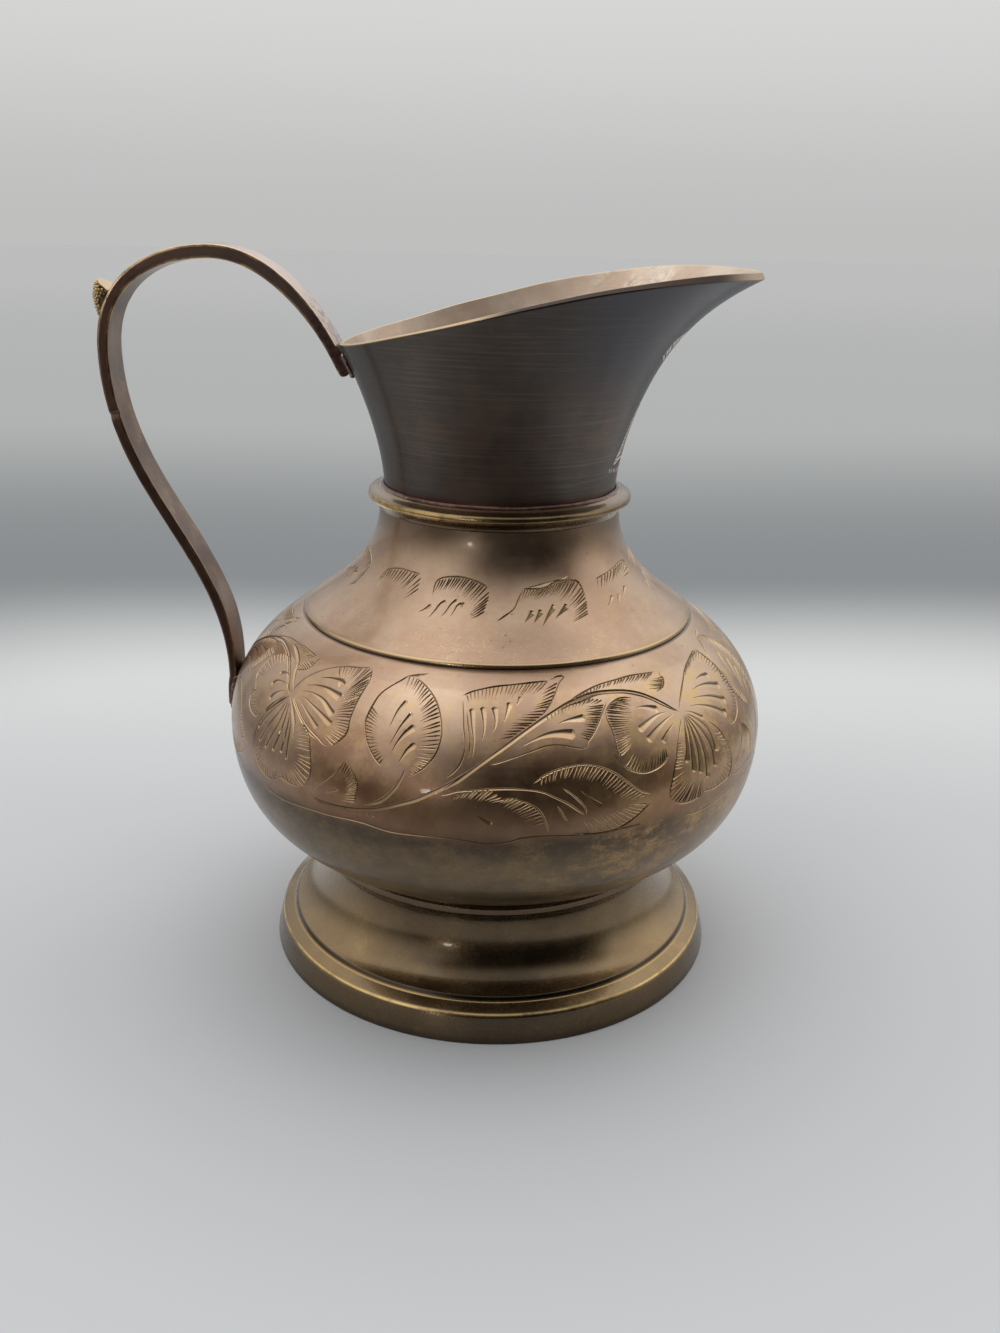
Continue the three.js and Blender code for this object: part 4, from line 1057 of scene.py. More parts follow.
def engraved(name, strokes, columns, rows, surface, below, above):
    """A closed piece: an engraved band all round, with turned rings below and above it.
    below and above are outlines that end and start at the band. They begin and end on the
    axis, or else the last ring meets the first."""
    places, faces, depths, shares, found = engraved_plane(strokes, columns, rows)
    count = len(columns)
    wrap = np.arange(len(places))
    for r in range(len(rows)):
        wrap[found[r * count + count - 1]] = found[r * count]
    points, normals = surface(places[:, 0], places[:, 1])
    all_points = [points - normals * depths[:, None]]
    turns = columns[:-1] / (columns[-1] - columns[0]) * 2 * np.pi
    turns = turns - turns[0] - np.pi
    around = count - 1

    def ring(radius, z):
        """Numbers of the points of a turned ring, which is one point on the axis."""
        first = sum(len(some) for some in all_points)
        at = turns if radius else turns[:1]
        all_points.append(np.column_stack([radius * np.cos(at), radius * np.sin(at), at * 0 + z]))
        return [first + j if radius else first for j in range(around)]

    rings = [ring(*row) for row in below]
    for r in (0, len(rows) - 1):
        rings.append([wrap[found[r * count + j]] for j in range(around)])
    rings += [ring(*row) for row in above]
    made = [tuple(int(wrap[i]) for i in f) for f in faces]
    pairs = [(i, i + 1) for i in range(len(rings) - 1) if i != len(below)]
    if above[-1][0] != 0:
        pairs.append((len(rings) - 1, 0))
    for low, high in ((rings[i], rings[k]) for i, k in pairs):
        for j in range(around):
            n = (j + 1) % around
            made.append(tuple(dict.fromkeys(int(v) for v in (low[j], low[n], high[n], high[j]))))
    cuts = (len(faces), depths, shares, normals, np.arange(len(depths)))
    return cut_mesh(name, np.concatenate(all_points), made, {}, cuts)


def cut_mesh(name, points, faces, marks, cuts):
    """A mesh of the used points only, with its marks. cuts holds how many of its first faces
    are the engraved band, then the depths, shares, normals and numbers of the band's points."""
    used = np.unique(np.concatenate([np.array(f) for f in faces]))
    fresh = np.full(len(points), -1)
    fresh[used] = np.arange(len(used))
    faces = [tuple(int(fresh[i]) for i in f) for f in faces]
    piece = as_mesh(name, points[used], faces, sharp=35)
    for key, values in marks.items():
        with_values(piece.data, key, values[used])
    mark_cuts(piece.data, *cuts[:4], fresh[cuts[4]])
    return piece


def read_all(items, key, width, kind=float):
    values = np.zeros(len(items) * width, kind)
    items.foreach_get(key, values)
    return values.reshape(-1, width)


def mark_cuts(mesh, band_faces, depths, shares, normals, at):
    """Gives plain faces of the band the true surface's normals and marks the cut ones."""
    kept = at >= 0
    depth_of, share_of = np.zeros((2, len(mesh.vertices)))
    normal_of = np.zeros((len(mesh.vertices), 3))
    for whole, values in ((depth_of, depths), (share_of, shares), (normal_of, normals)):
        whole[at[kept]] = values[kept]
    corners = read_all(mesh.corner_normals, "vector", 3)
    flat = read_all(mesh.polygon_normals, "vector", 3)
    last = mesh.polygons[band_faces - 1].loop_start + 3
    vertex = read_all(mesh.loops, "vertex_index", 1, int)[:last, 0]
    owner = np.repeat(np.arange(band_faces), 3)
    is_cut = (depth_of[vertex].reshape(-1, 3).max(axis=1) > 1e-4)[owner]
    corners[:last] = np.where(is_cut[:, None], flat[owner], normal_of[vertex])
    mesh.normals_split_custom_set(corners.tolist())
    shade, facet = np.zeros((2, len(mesh.loops)))
    shade[:last] = np.where(is_cut, share_of[vertex], 0)
    facet[:last] = is_cut
    with_values(mesh, "cut", shade, "CORNER")
    with_values(mesh, "facet", facet, "CORNER")


def lathe_surface(profile, scale, from_top):
    """Where a place of the unrolled surface lies on the turned one, and its normal."""
    lengths = arc_lengths(profile)
    along = unit(np.gradient(profile, axis=0))

    def surface(x, y):
        turn = x / scale - np.pi / 2
        run = y + lengths[-1] if from_top else y
        radius, z = at_lengths(run, lengths, profile).T
        forward, out = at_lengths(run, lengths, along).T
        size = np.hypot(out, forward)
        points = np.stack([radius * np.cos(turn), radius * np.sin(turn), z], axis=1)
        out = out / size
        normals = np.stack([out * np.cos(turn), out * np.sin(turn), -forward / size], axis=1)
        return points, normals

    return surface


# Bowl: four flowers and their leaf sprays run round the belly, over a thin border line

BELLY_SCALE = 74.0
SHOULDER_SCALE = 48.0
# The belly's band, the step from the left flower to the right one and their heights
BELLY_BAND = (-47.5, -1.3)
FIRST_FLOWER, SECOND_FLOWER = -61.0, 57.6
FLOWER_STEP = 118.6
LEFT_UP, RIGHT_UP = -17.9, -18.4
# The shoulder's band, its four leaves that show, and the step of those that don't
SHOULDER_BAND = (8.5, 27.5)
LEAVES = (-34.0, -10.0, 18.5, 48.0)
LEAF_STEP = 27.45


def placed(x, y, stretch=1.0, seed=0):
    """Moves a drawing's guides to a place. With a seed, the hand's slight changes are added."""
    chance = random.Random(seed)
    phases = [chance.uniform(0, 6.28) for _ in range(4)]
    amount = 0.55 if seed else 0.0

    def move(points):
        u, v = points.T
        du = amount * (np.sin(v / 7 + phases[0]) + 0.6 * np.sin(u / 11 + phases[1]))
        dv = amount * (np.sin(u / 9 + phases[2]) + 0.4 * np.sin(v / 8 + phases[3]))
        return np.column_stack([u * stretch + x + du, v + y + dv * 0.7])

    return move


def all_round(scale):
    """Where the unrolled surface starts and ends, at the back under the handle."""
    low = -math.pi / 2 * scale
    return low, low + 2 * math.pi * scale


def make_bowl():
    chance = random.Random(17)
    low, high = all_round(BELLY_SCALE)
    gap = (high - low - FLOWER_STEP) / 3
    cuts = []
    x = FIRST_FLOWER
    for k, flower_seed in enumerate((0, 0, 5, 7)):
        flower, up = (RIGHT_FLOWER, RIGHT_UP) if k % 2 else (LEFT_FLOWER, LEFT_UP)
        cuts += cuts_from(flower, placed(x, up, 1, flower_seed), chance)
        stretch = gap / FLOWER_STEP if k else 1.0
        cuts += cuts_from(SPRAY, placed(x, 0, stretch, 20 + k if k else 0), chance)
        x = SECOND_FLOWER + gap * k
    strokes = wrapped(cuts, low, high)
    columns = np.linspace(low, high, COLUMNS + 1)
    rows = np.linspace(*BELLY_BAND, 21)
    fine = belly_line(FINE_STEPS)
    lengths = arc_lengths(fine)
    under = np.linspace(0, lengths[-1] + BELLY_BAND[0], 20)[:-1]
    below = [
        (0, FOOT_TOP),
        (BASE[0] - 0.2, FOOT_TOP),
        (BASE[0], FOOT_TOP + 0.2),
        *at_lengths(under, lengths, fine),
    ]
    above = [
        (SEAM[0], SEAM[1] - 0.02),
        (SEAM[0] - 0.15, SEAM[1]),
        (SEAM_INNER + 0.2, SEAM[1]),
        (SEAM_INNER, SEAM[1] - 0.2),
        *beside(BELLY_LINE, BOWL_WALL)[::-3][1:],
        (0, BOWL_FLOOR),
    ]
    surface = lathe_surface(fine, BELLY_SCALE, True)
    return engraved("bowl_engraved", strokes, columns, rows, surface, below, above)


# Shoulder: a ring of hatched leaf tips under the collar


def make_shoulder():
    chance = random.Random(29)
    low, high = all_round(SHOULDER_SCALE)
    leaves = (SHOULDER_LEAF_A, SHOULDER_LEAF_B, SHOULDER_LEAF_C, SHOULDER_LEAF_D)
    cuts = []
    for leaf, x in zip(leaves, LEAVES):
        cuts += cuts_from(leaf, placed(x, 0), chance)
    for k in range(7):
        x = LEAVES[-1] + LEAF_STEP * (k + 1)
        cuts += cuts_from(leaves[1 + k % 3], placed(x, 0, 0.95, 40 + k), chance)
    strokes = wrapped(cuts, low, high)
    columns = np.linspace(low, high, COLUMNS + 1)
    rows = np.linspace(*SHOULDER_BAND, 13)
    fine = shoulder_line(FINE_STEPS)
    lengths = arc_lengths(fine)
    inside = beside(SHOULDER_LINE, SHOULDER_WALL)
    inside = inside[inside[:, 0] < SPIGOT_RADIUS - SHOULDER_WALL][::-3]
    below = [
        (SPIGOT_RADIUS - SHOULDER_WALL, SPIGOT_END),
        (SPIGOT_RADIUS, SPIGOT_END),
        (SPIGOT_RADIUS, SEAM[1]),
        (STEP[0] - 0.15, SEAM[1]),
        (STEP[0], SEAM[1] + 0.15),
        (STEP[0], STEP[1] - 0.25),
        (STEP[0] - 0.08, STEP[1] - 0.05),
        *at_lengths(np.linspace(0.25, SHOULDER_BAND[0], 7)[:-1], lengths, fine),
    ]
    over = np.linspace(SHOULDER_BAND[1], lengths[-1], 7)[1:]
    above = [*at_lengths(over, lengths, fine), *inside]
    surface = lathe_surface(fine, SHOULDER_SCALE, False)
    return engraved("shoulder_engraved", strokes, columns, rows, surface, below, above)


# Thumb stop: a small cast shell, pointed below and flat on top, with a pebbled back


def make_thumb_stop(material):
    places = np.linspace(0, 1, len(STRAP_LINE))
    top_z = CROWN[1] - STOP_DROP
    rising = places < CROWN_AT
    top = float(np.interp(top_z, STRAP_LINE[rising][:, 1], places[rising]))
    stations, around = 44, 56
    shares = np.linspace(0, 1, stations + 1)
    u = top - (1 - shares) * STOP_LENGTH / STRAP_LENGTH
    point, out = strap_frame(u)
    rings = []
    for i, share in enumerate(shares):
        grown = math.sin(share * math.pi / 2)
        base = float(strap_thickness(u[i])) / 2 + FIT_GAP
        reach = POINT_REACH + (STOP_REACH - POINT_REACH) * grown
        half = (POINT_WIDTH + (STOP_WIDTH - POINT_WIDTH) * grown) / 2
        ring = []
        for k in range(around + 1):
            angle = k / around * math.pi
            scallop = 0.18 * math.cos(angle * 10)
            height = base + (reach - PEBBLE_ROOM) * math.sin(angle)
            across = (half + scallop * grown - 0.1) * math.cos(angle)
            x, z = point[i] + out[i] * height
            ring.append((x, across, z))
        rings.append(np.array(ring))
    return pebbled(skinned("thumb_shell", rings, sharp=55), stations, around, material)


def pebbled(shell, stations, around, material):
    """The shell with small proud pebbles over its back, by Geometry Nodes."""
    start = shell.data
    start.transform(Matrix.Scale(1 / MM, 4) @ Matrix.Translation((-AXIS_X * MM, 0, 0)))
    back, lip = np.zeros((2, stations + 1, around + 1))
    back[3:-3, 5:-5] = 1.0
    lip[-1:] = 1.0
    with_values(start, "back", back.ravel())
    with_values(start, "edge", lip.ravel())
    bpy.data.objects.remove(shell)
    sizes = {"Size": 0.44, "Spacing": 0.78, "Least": 0.7, "Most": 1.12, "Seed": 5}
    g = Grown("thumb_pebbles", **sizes, Material=material)
    chosen = {0: g.values("back", "FLOAT"), 1: 0.5}
    spread = {
        "Mesh": g["Geometry"],
        "Selection": g.node("FunctionNodeCompare", {"operation": "GREATER_THAN"}, chosen),
        "Distance Min": g["Spacing"],
        "Density Max": 12.0,
        "Seed": g["Seed"],
    }
    spots = g.node("GeometryNodeDistributePointsOnFaces", {"distribute_method": "POISSON"}, spread)
    way = Signal(g, spots.socket.node.outputs["Rotation"])
    dome = g.node("GeometryNodeMeshIcoSphere", {}, {"Radius": g["Size"], "Subdivisions": 2})
    dome = g.kept(dome, "edge", 1.0, "FLOAT")
    chance = {2: g["Least"], 3: g["Most"], "Seed": g["Seed"]}
    size = g.node("FunctionNodeRandomValue", {"data_type": "FLOAT"}, chance, 1)
    laid = {"Points": spots, "Instance": dome, "Rotation": way, "Scale": size}
    stones = g.node("GeometryNodeInstanceOnPoints", {}, laid)
    both = g.tree.nodes.new("GeometryNodeJoinGeometry")
    g.tree.links.new(stones.socket, both.inputs[0])
    g.tree.links.new(g["Geometry"].socket, both.inputs[0])
    g.finished(Signal(g, both.outputs[0]))
    return g.bake("thumb_shell", start, sharp=55)


# Solder: beads that ran and set unevenly


BEAD_POINTS = 110
NECK_SEAT = 5.4


def bead(name, path, radius, seed, uneven, material):
    """A closed round bead along a path of points."""
    path = np.asarray(path, float)
    along = unit(np.gradient(path, axis=0))
    side = unit(np.cross(along, path * (1, 1, 0)))
    lift = np.cross(side, along)
    ends = np.minimum(np.arange(len(path)), np.arange(len(path))[::-1])
    size = radius * (1 + uneven * waves(path, seed, 1.5) + uneven * waves(path, seed + 3, 0.6))
    size = size * np.minimum(1.0, 0.35 + 0.25 * ends)
    half = np.column_stack([size, size, size])
    changes = {"Uneven": 0.25 * uneven, "Seed": float(seed)}
    return swept(name, path, side, lift, half, ROUND, material, **changes)


def smooth_path(points):
    """A path through points with its turns softened."""
    points = np.asarray(points, float)
    lengths = arc_lengths(points)
    path = at_lengths(np.linspace(0, lengths[-1], BEAD_POINTS), lengths, points)
    for _ in range(6):
        path[1:-1] = (path[:-2] + 2 * path[1:-1] + path[2:]) / 4
    return path


def strap_end_places(seat_length, away):
    """Places round a strap's end, across and up from its tip, away from its edge."""
    side = STRAP_WIDTH / 2
    places = [(side + away, seat_length * k) for k in (1, 0.66, 0.33)] + [(side + away, away)]
    for degrees in (0, 45, 90):
        a = math.radians(degrees)
        places.append((side + away * math.cos(a), -away * math.sin(a)))
    return places + [(0, -away)] + [(-a, u) for a, u in places[::-1]]


def make_lower_solder(material):
    points = []
    for across, up in strap_end_places(STRAP_SEAT, 0.45):
        z = STRAP_END_Z + up
        radius = belly_radius(z) + 0.5
        points.append((-math.sqrt(radius**2 - across**2), across, z))
    return bead("handle_solder_low", smooth_path(points), 0.75, 31, 0.2, material)


def make_upper_solder(material):
    points = []
    for across, up in strap_end_places(NECK_SEAT, 0.35):
        part = 1 - (STRAP_DROP - up) / NECK_BACK_HEIGHT
        angle = math.pi - math.asin(across / float(neck_radius(math.pi, part)))
        points.append(neck_point(angle, part, -0.45))
    return bead("handle_solder_high", smooth_path(points), 0.7, 37, 0.2, material)


def fillet(name, inner, z, width, height, seed, uneven):
    """A ring of metal in a corner, with a hollow face."""
    outline = [(inner, z + 0.01)]
    for t in np.linspace(0, 1, 6):
        hollow = 0.24 * math.sin(math.pi * t) * 0.5
        outline.append((inner + width * (1 - t - hollow), z + height * (t - hollow)))
    return turned(name, np.array(outline), uneven, seed)


# Node trees, for finishes and for shapes that follow a path or repeat


class Signal:
    """A node's output, used in Python sums: each sum adds its Math node."""

    def __init__(self, finish, socket):
        self.finish, self.socket = finish, socket

    def joined(self, operation, other, flipped=False):
        first, second = (other, self) if flipped else (self, other)
        return self.finish.node("ShaderNodeMath", {"operation": operation}, {0: first, 1: second})

    def __add__(self, other):
        return self.joined("ADD", other)

    __radd__ = __add__

    def __mul__(self, other):
        return self.joined("MULTIPLY", other)

    __rmul__ = __mul__

    def __sub__(self, other):
        return self.joined("SUBTRACT", other)

    def __rsub__(self, other):
        return self.joined("SUBTRACT", other, flipped=True)

    def __pow__(self, other):
        return self.joined("POWER", other)

    def least(self, other):
        return self.joined("MINIMUM", other)

    def most(self, other):
        return self.joined("MAXIMUM", other)

    def fall(self, low, high):
        """1 below low, 0 above high, smooth between."""
        return 1.0 - self.ramp(low, high)

    def within(self, low, full, fading, high):
        """1 from full to fading, 0 below low and above high."""
        return self.ramp(low, full) * self.fall(fading, high)

    def ramp(self, low, high):
        """0 below low, 1 above high, smooth between."""
        values = {0: self, 1: low, 2: high, 3: 0.0, 4: 1.0}
        return self.finish.node("ShaderNodeMapRange", {"interpolation_type": "SMOOTHSTEP"}, values)


def linear(red, green, blue):
    """A colour as it is seen on a screen, 0 to 255, turned into light."""
    channels = []
    for level in (red, green, blue):
        share = level / 255
        channels.append(share / 12.92 if share <= 0.04045 else ((share + 0.055) / 1.055) ** 2.4)
    return (*channels, 1.0)


class NodeTree:
    def __init__(self, tree):
        self.tree = tree
        tree.nodes.clear()

    def node(self, kind, settings=None, sockets=None, output=0):
        made = self.tree.nodes.new(kind)
        for key, value in (settings or {}).items():
            setattr(made, key, value)
        for key, value in (sockets or {}).items():
            if isinstance(value, Signal):
                self.tree.links.new(value.socket, made.inputs[key])
            else:
                made.inputs[key].default_value = value
        return None if output is None else Signal(self, made.outputs[output])


class Finish(NodeTree):
    """A material made of nodes, with patterns at real size on the piece's own place."""

    def __init__(self, holder, place="Object"):
        if isinstance(holder, str):
            holder = bpy.data.materials.new(holder)
            holder.use_nodes = True
        super().__init__(holder.node_tree)
        self.material = holder
        self.place = self.node("ShaderNodeTexCoord", output=place)

    def noise(self, size, detail=4.0, rough=0.55, stretch=(1, 1, 1), shift=(0, 0, 0)):
        """Cloudy values round 0.5 with patches of a size in millimetres."""
        scale = [1 / (size * s) / MM for s in stretch]
        moving = {"Vector": self.place, "Location": shift, "Scale": scale}
        moved = self.node("ShaderNodeMapping", {}, moving)
        values = {"Vector": moved, "Scale": 1.0, "Detail": detail, "Roughness": rough}
        return self.node("ShaderNodeTexNoise", {}, values, "Fac")

    def cells(self, size):
        """How far each place is from the nearest of many strewn points."""
        values = {"Vector": self.place, "Scale": 1 / size / MM, "Randomness": 1.0}
        return self.node("ShaderNodeTexVoronoi", {"feature": "F1"}, values, "Distance")

    def mark(self, name):
        return self.node("ShaderNodeAttribute", {"attribute_name": name}, {}, "Fac")

    def along(self, way):
        """The place along X, Y or Z in millimetres, from the vessel's own axis."""
        part = self.node("ShaderNodeSeparateXYZ", {}, {0: self.place}, way) * 1000.0
        return part - AXIS_X if way == "X" else part

    def near_ring(self, radius, z, inner, outer):
        """1 close to the circle of a radius at a height, 0 further off than outer."""
        x, y = self.along("X"), self.along("Y")
        out = (x * x + y * y) ** 0.5 - radius
        rise = self.along("Z") - z
        return 1.0 - ((out * out + rise * rise) ** 0.5).ramp(inner, outer)

    def blend(self, share, *tones):
        """Two colours mixed, each blended before or as a screen's red, green and blue."""
        first, second = (linear(*tone) if isinstance(tone, tuple) else tone for tone in tones)
        settings = {"data_type": "RGBA", "blend_type": "MIX", "clamp_factor": True}
        return self.node("ShaderNodeMix", settings, {0: share, 6: first, 7: second}, 2)

    def lay(self, share, *tone):
        """Lays a colour over what the finish has so far."""
        self.color = self.blend(share, self.color, tone if len(tone) == 3 else tone[0])

    def metal(self, roughness, height, depth, strength, coat=0.5):
        relief = {"Height": height, "Distance": depth * MM, "Strength": strength}
        values = {
            "Base Color": self.color,
            "Metallic": 1.0,
            "Roughness": roughness,
            "Normal": self.node("ShaderNodeBump", {}, relief, "Normal"),
            "Coat Weight": coat,
            "Coat Roughness": 0.07,
        }
        shader = self.node("ShaderNodeBsdfPrincipled", {}, values)
        self.node("ShaderNodeOutputMaterial", {}, {"Surface": shader}, None)
        return self.material


class Grown(NodeTree):
    """A tree of Geometry Nodes with named inputs, made into a plain mesh at once."""

    def __init__(self, name, **sizes):
        super().__init__(bpy.data.node_groups.new(name, "GeometryNodeTree"))
        self.sizes = sizes
        sockets = self.tree.interface
        sockets.new_socket("Geometry", in_out="INPUT", socket_type="NodeSocketGeometry")
        for key, value in sizes.items():
            kind = "Material" if isinstance(value, bpy.types.Material) else "Float"
            kind = "Int" if isinstance(value, int) else kind
            sockets.new_socket(key, in_out="INPUT", socket_type="NodeSocket" + kind)
        sockets.new_socket("Geometry", in_out="OUTPUT", socket_type="NodeSocketGeometry")
        self.given = self.tree.nodes.new("NodeGroupInput")

    def __getitem__(self, name):
        return Signal(self, self.given.outputs[name])

    def values(self, name, kind="FLOAT_VECTOR"):
        return self.node("GeometryNodeInputNamedAttribute", {"data_type": kind}, {"Name": name})

    def kept(self, shape, name, value, kind="FLOAT_VECTOR"):
        """The shape with a value stored on its points under a name."""
        settings = {"data_type": kind, "domain": "POINT"}
        values = {"Geometry": shape, "Name": name, "Value": value}
        return self.node("GeometryNodeStoreNamedAttribute", settings, values)

    def part(self, vector, way):
        return self.node("ShaderNodeSeparateXYZ", {}, {0: vector}, way)

    def times(self, vector, factor):
        values = {"Vector": vector, "Scale": factor}
        return self.node("ShaderNodeVectorMath", {"operation": "SCALE"}, values)

    def plus(self, first, second):
        return self.node("ShaderNodeVectorMath", {"operation": "ADD"}, {0: first, 1: second})

    def uneven(self, place, size, seed):
        """Smooth values from about -0.5 to 0.5, with waves of a size in millimetres."""
        values = {"Vector": place, "W": seed, "Scale": 1 / size, "Detail": 1.0}
        return self.node("ShaderNodeTexNoise", {"noise_dimensions": "4D"}, values, "Fac") - 0.5

    def finished(self, shape):
        shape = self.node("GeometryNodeRealizeInstances", {}, {"Geometry": shape})
        values = {"Geometry": shape, "Material": self["Material"]}
        shape = self.node("GeometryNodeSetMaterial", {}, values)
        end = self.tree.nodes.new("NodeGroupOutput")
        self.tree.links.new(shape.socket, end.inputs["Geometry"])

    def bake(self, name, start, sharp=40.0):
        """The piece that the tree makes of a starting mesh in millimetres."""
        piece = bpy.data.objects.new(name, start)
        bpy.context.scene.collection.objects.link(piece)
        growth = piece.modifiers.new("growth", "NODES")
        growth.node_group = self.tree
        for item in self.tree.interface.items_tree:
            if item.in_out == "INPUT" and item.name in self.sizes:
                growth[item.identifier] = self.sizes[item.name]
        graph = bpy.context.evaluated_depsgraph_get()
        mesh = bpy.data.meshes.new_from_object(piece.evaluated_get(graph))
        piece.modifiers.remove(growth)
        piece.data = mesh
        mesh.name = name
        mesh.transform(Matrix.Translation((AXIS_X * MM, 0, 0)) @ Matrix.Scale(MM, 4))
        work = bmesh.new()
        work.from_mesh(mesh)
        bmesh.ops.recalc_face_normals(work, faces=work.faces)
        work.to_mesh(mesh)
        work.free()
        mesh.polygons.foreach_set("use_smooth", [True] * len(mesh.polygons))
        mesh.set_sharp_from_angle(angle=math.radians(sharp))
        return piece


def with_values(mesh, name, values, domain="POINT"):
    """Stores a number for each point or corner, or three of them."""
    values = np.asarray(values, np.float32)
    kind, key = ("FLOAT", "value") if values.ndim == 1 else ("FLOAT_VECTOR", "vector")
    layer = mesh.attributes.new(name, kind, domain)
    layer.data.foreach_set(key, values.ravel())


def swept(name, path, across, out, half, section, material, sharp=40.0, **sizes):
    """A bar along a path, by Geometry Nodes. half holds its half width, half thickness and
    eased corner at each point; section lists a corner's side, its turn and two marks."""
    count, around = len(path), len(section)
    section = np.asarray(section, float)
    start = bpy.data.meshes.new(name)
    edges = [(i, i + 1) for i in range(count - 1)]
    edges += [(count + i, count + (i + 1) % around) for i in range(around)]
    flat = np.column_stack([section[:, :2] + section[:, 2:4], np.zeros(around)])
    start.from_pydata(np.concatenate([path, flat]).tolist(), edges, [])
    for key, first, values in (
        ("across", 0, across),
        ("out", 0, out),
        ("half", 0, half),
        ("side_of", count, section[:, :2]),
        ("turn_of", count, section[:, 2:4]),
        ("edge", count, section[:, 4:5]),
        ("side", count, section[:, 5:6]),
        ("is_section", count, np.ones((around, 1))),
    ):
        whole = np.zeros((count + around, 3))
        whole[first : first + len(values), : values.shape[1]] = values
        with_values(start, key, whole[:, 0] if values.shape[1] == 1 else whole)
    g = Grown(name + "_sweep", **{"Uneven": 0.03, "Seed": 1.0, "Material": material, **sizes})
    lines = g.node("GeometryNodeMeshToCurve", {}, {"Mesh": g["Geometry"]})
    chosen = {"Geometry": lines, "Selection": g.values("is_section", "FLOAT")}
    split = g.node("GeometryNodeSeparateGeometry", {}, chosen)
    rest = Signal(g, split.socket.node.outputs["Inverted"])
    # The path must not carry the section's own values, or they would hide them
    for key in ("side_of", "turn_of", "edge", "side"):
        rest = g.node("GeometryNodeRemoveAttribute", {}, {"Geometry": rest, "Name": key})
    rest = g.kept(rest, "middle", g.node("GeometryNodeInputPosition"))
    curves = {"Curve": rest, "Profile Curve": split, "Fill Caps": True}
    bar = g.node("GeometryNodeCurveToMesh", {}, curves)
    middle, size, side, turn = (g.values(key) for key in ("middle", "half", "side_of", "turn_of"))
    ease = g.part(size, "Z")
    wave = g["Uneven"] * g.uneven(g.plus(middle, g.times(side, 40.0)), 3.0, g["Seed"]) * 2.0
    x, y = (
        g.part(side, way) * (g.part(size, way) - ease) + g.part(turn, way) * (ease + wave)
        for way in "XY"
    )
    at = g.plus(middle, g.plus(g.times(g.values("across"), x), g.times(g.values("out"), y)))
    g.finished(g.node("GeometryNodeSetPosition", {}, {"Geometry": bar, "Position": at}))
    piece = g.bake(name, start, sharp)
    for key in ("across", "out", "half", "side_of", "turn_of", "is_section", "middle"):
        layer = piece.data.attributes.get(key)
        if layer:
            piece.data.attributes.remove(layer)
    return piece


def bar_section(corner_turns, flats):
    """A rounded bar's outline: side, turn, and marks for its edge and its flank."""
    corners = ((1, 1), (-1, 1), (-1, -1), (1, -1))
    rows = []
    for quarter, (sx, sy) in enumerate(corners):
        for k in range(corner_turns + 1):
            a = math.radians(90 * quarter + 90 * k / corner_turns)
            rows.append((sx, sy, math.cos(a), math.sin(a), 1.0, abs(math.cos(a)) ** 2))
        nx, ny = corners[(quarter + 1) % 4]
        flank = quarter % 2
        for share in (0.22, 0.78) if flank else flats:
            middle = (sx + (nx - sx) * share, sy + (ny - sy) * share)
            rows.append((*middle, round(math.cos(a)), round(math.sin(a)), 0.0, float(flank)))
    return rows


ROUND = [(1, 1, math.cos(a), math.sin(a), 0.0, 0.0) for a in np.radians(np.arange(18, 360, 36))]


# Old brass. Every finish is a brown skin that grew over bright metal, thin on edges and
# proud places, with fine turning marks, dull spots and dark dirt in what is cut into it.


def old_brass(name, skin, thin, bright, **sizes):
    """skin and thin are the patina where it is thick and thin, bright the metal under it."""
    s = {"patches": 11.0, "rings": 0.0, "rough": 0.36, "spots": 0.5, "specks": 0.25, "wear": 0.35}
    s.update(sizes)
    f = Finish(name)
    broad = f.noise(s["patches"] * 2.4, 3.0, 0.5)
    patch = f.noise(s["patches"], 6.0, 0.62, shift=(3.1, 1.7, 0.4))
    fine = f.noise(1.3, 5.0, 0.6)
    dust = f.noise(0.32, 3.0, 0.7)
    f.color = f.blend((broad * 0.55 + patch * 0.45).ramp(0.40, 0.62), skin, thin)
    f.lay((patch * 0.6 + fine * 0.4).ramp(0.545, 0.66) * s["wear"], *bright)
    spots = (1.0 - f.cells(2.7)).ramp(0.80, 0.94) * fine.ramp(0.48, 0.62) * s["spots"]
    f.lay(spots, 48, 38, 31)
    f.lay(dust.ramp(0.66, 0.76) * s["specks"], 62, 48, 38)
    rough = s["rough"] + 0.22 * (patch - 0.5) + 0.14 * (fine - 0.5) + 0.22 * spots
    height = fine * 0.35 + dust * 0.4 - spots * 0.8
    if s["rings"]:
        marks = f.noise(1.0, 3.0, 0.6, stretch=(26, 26, 0.55))
        rough = rough + 0.10 * (marks - 0.5)
        height = height + marks * s["rings"]
    return f, rough, height


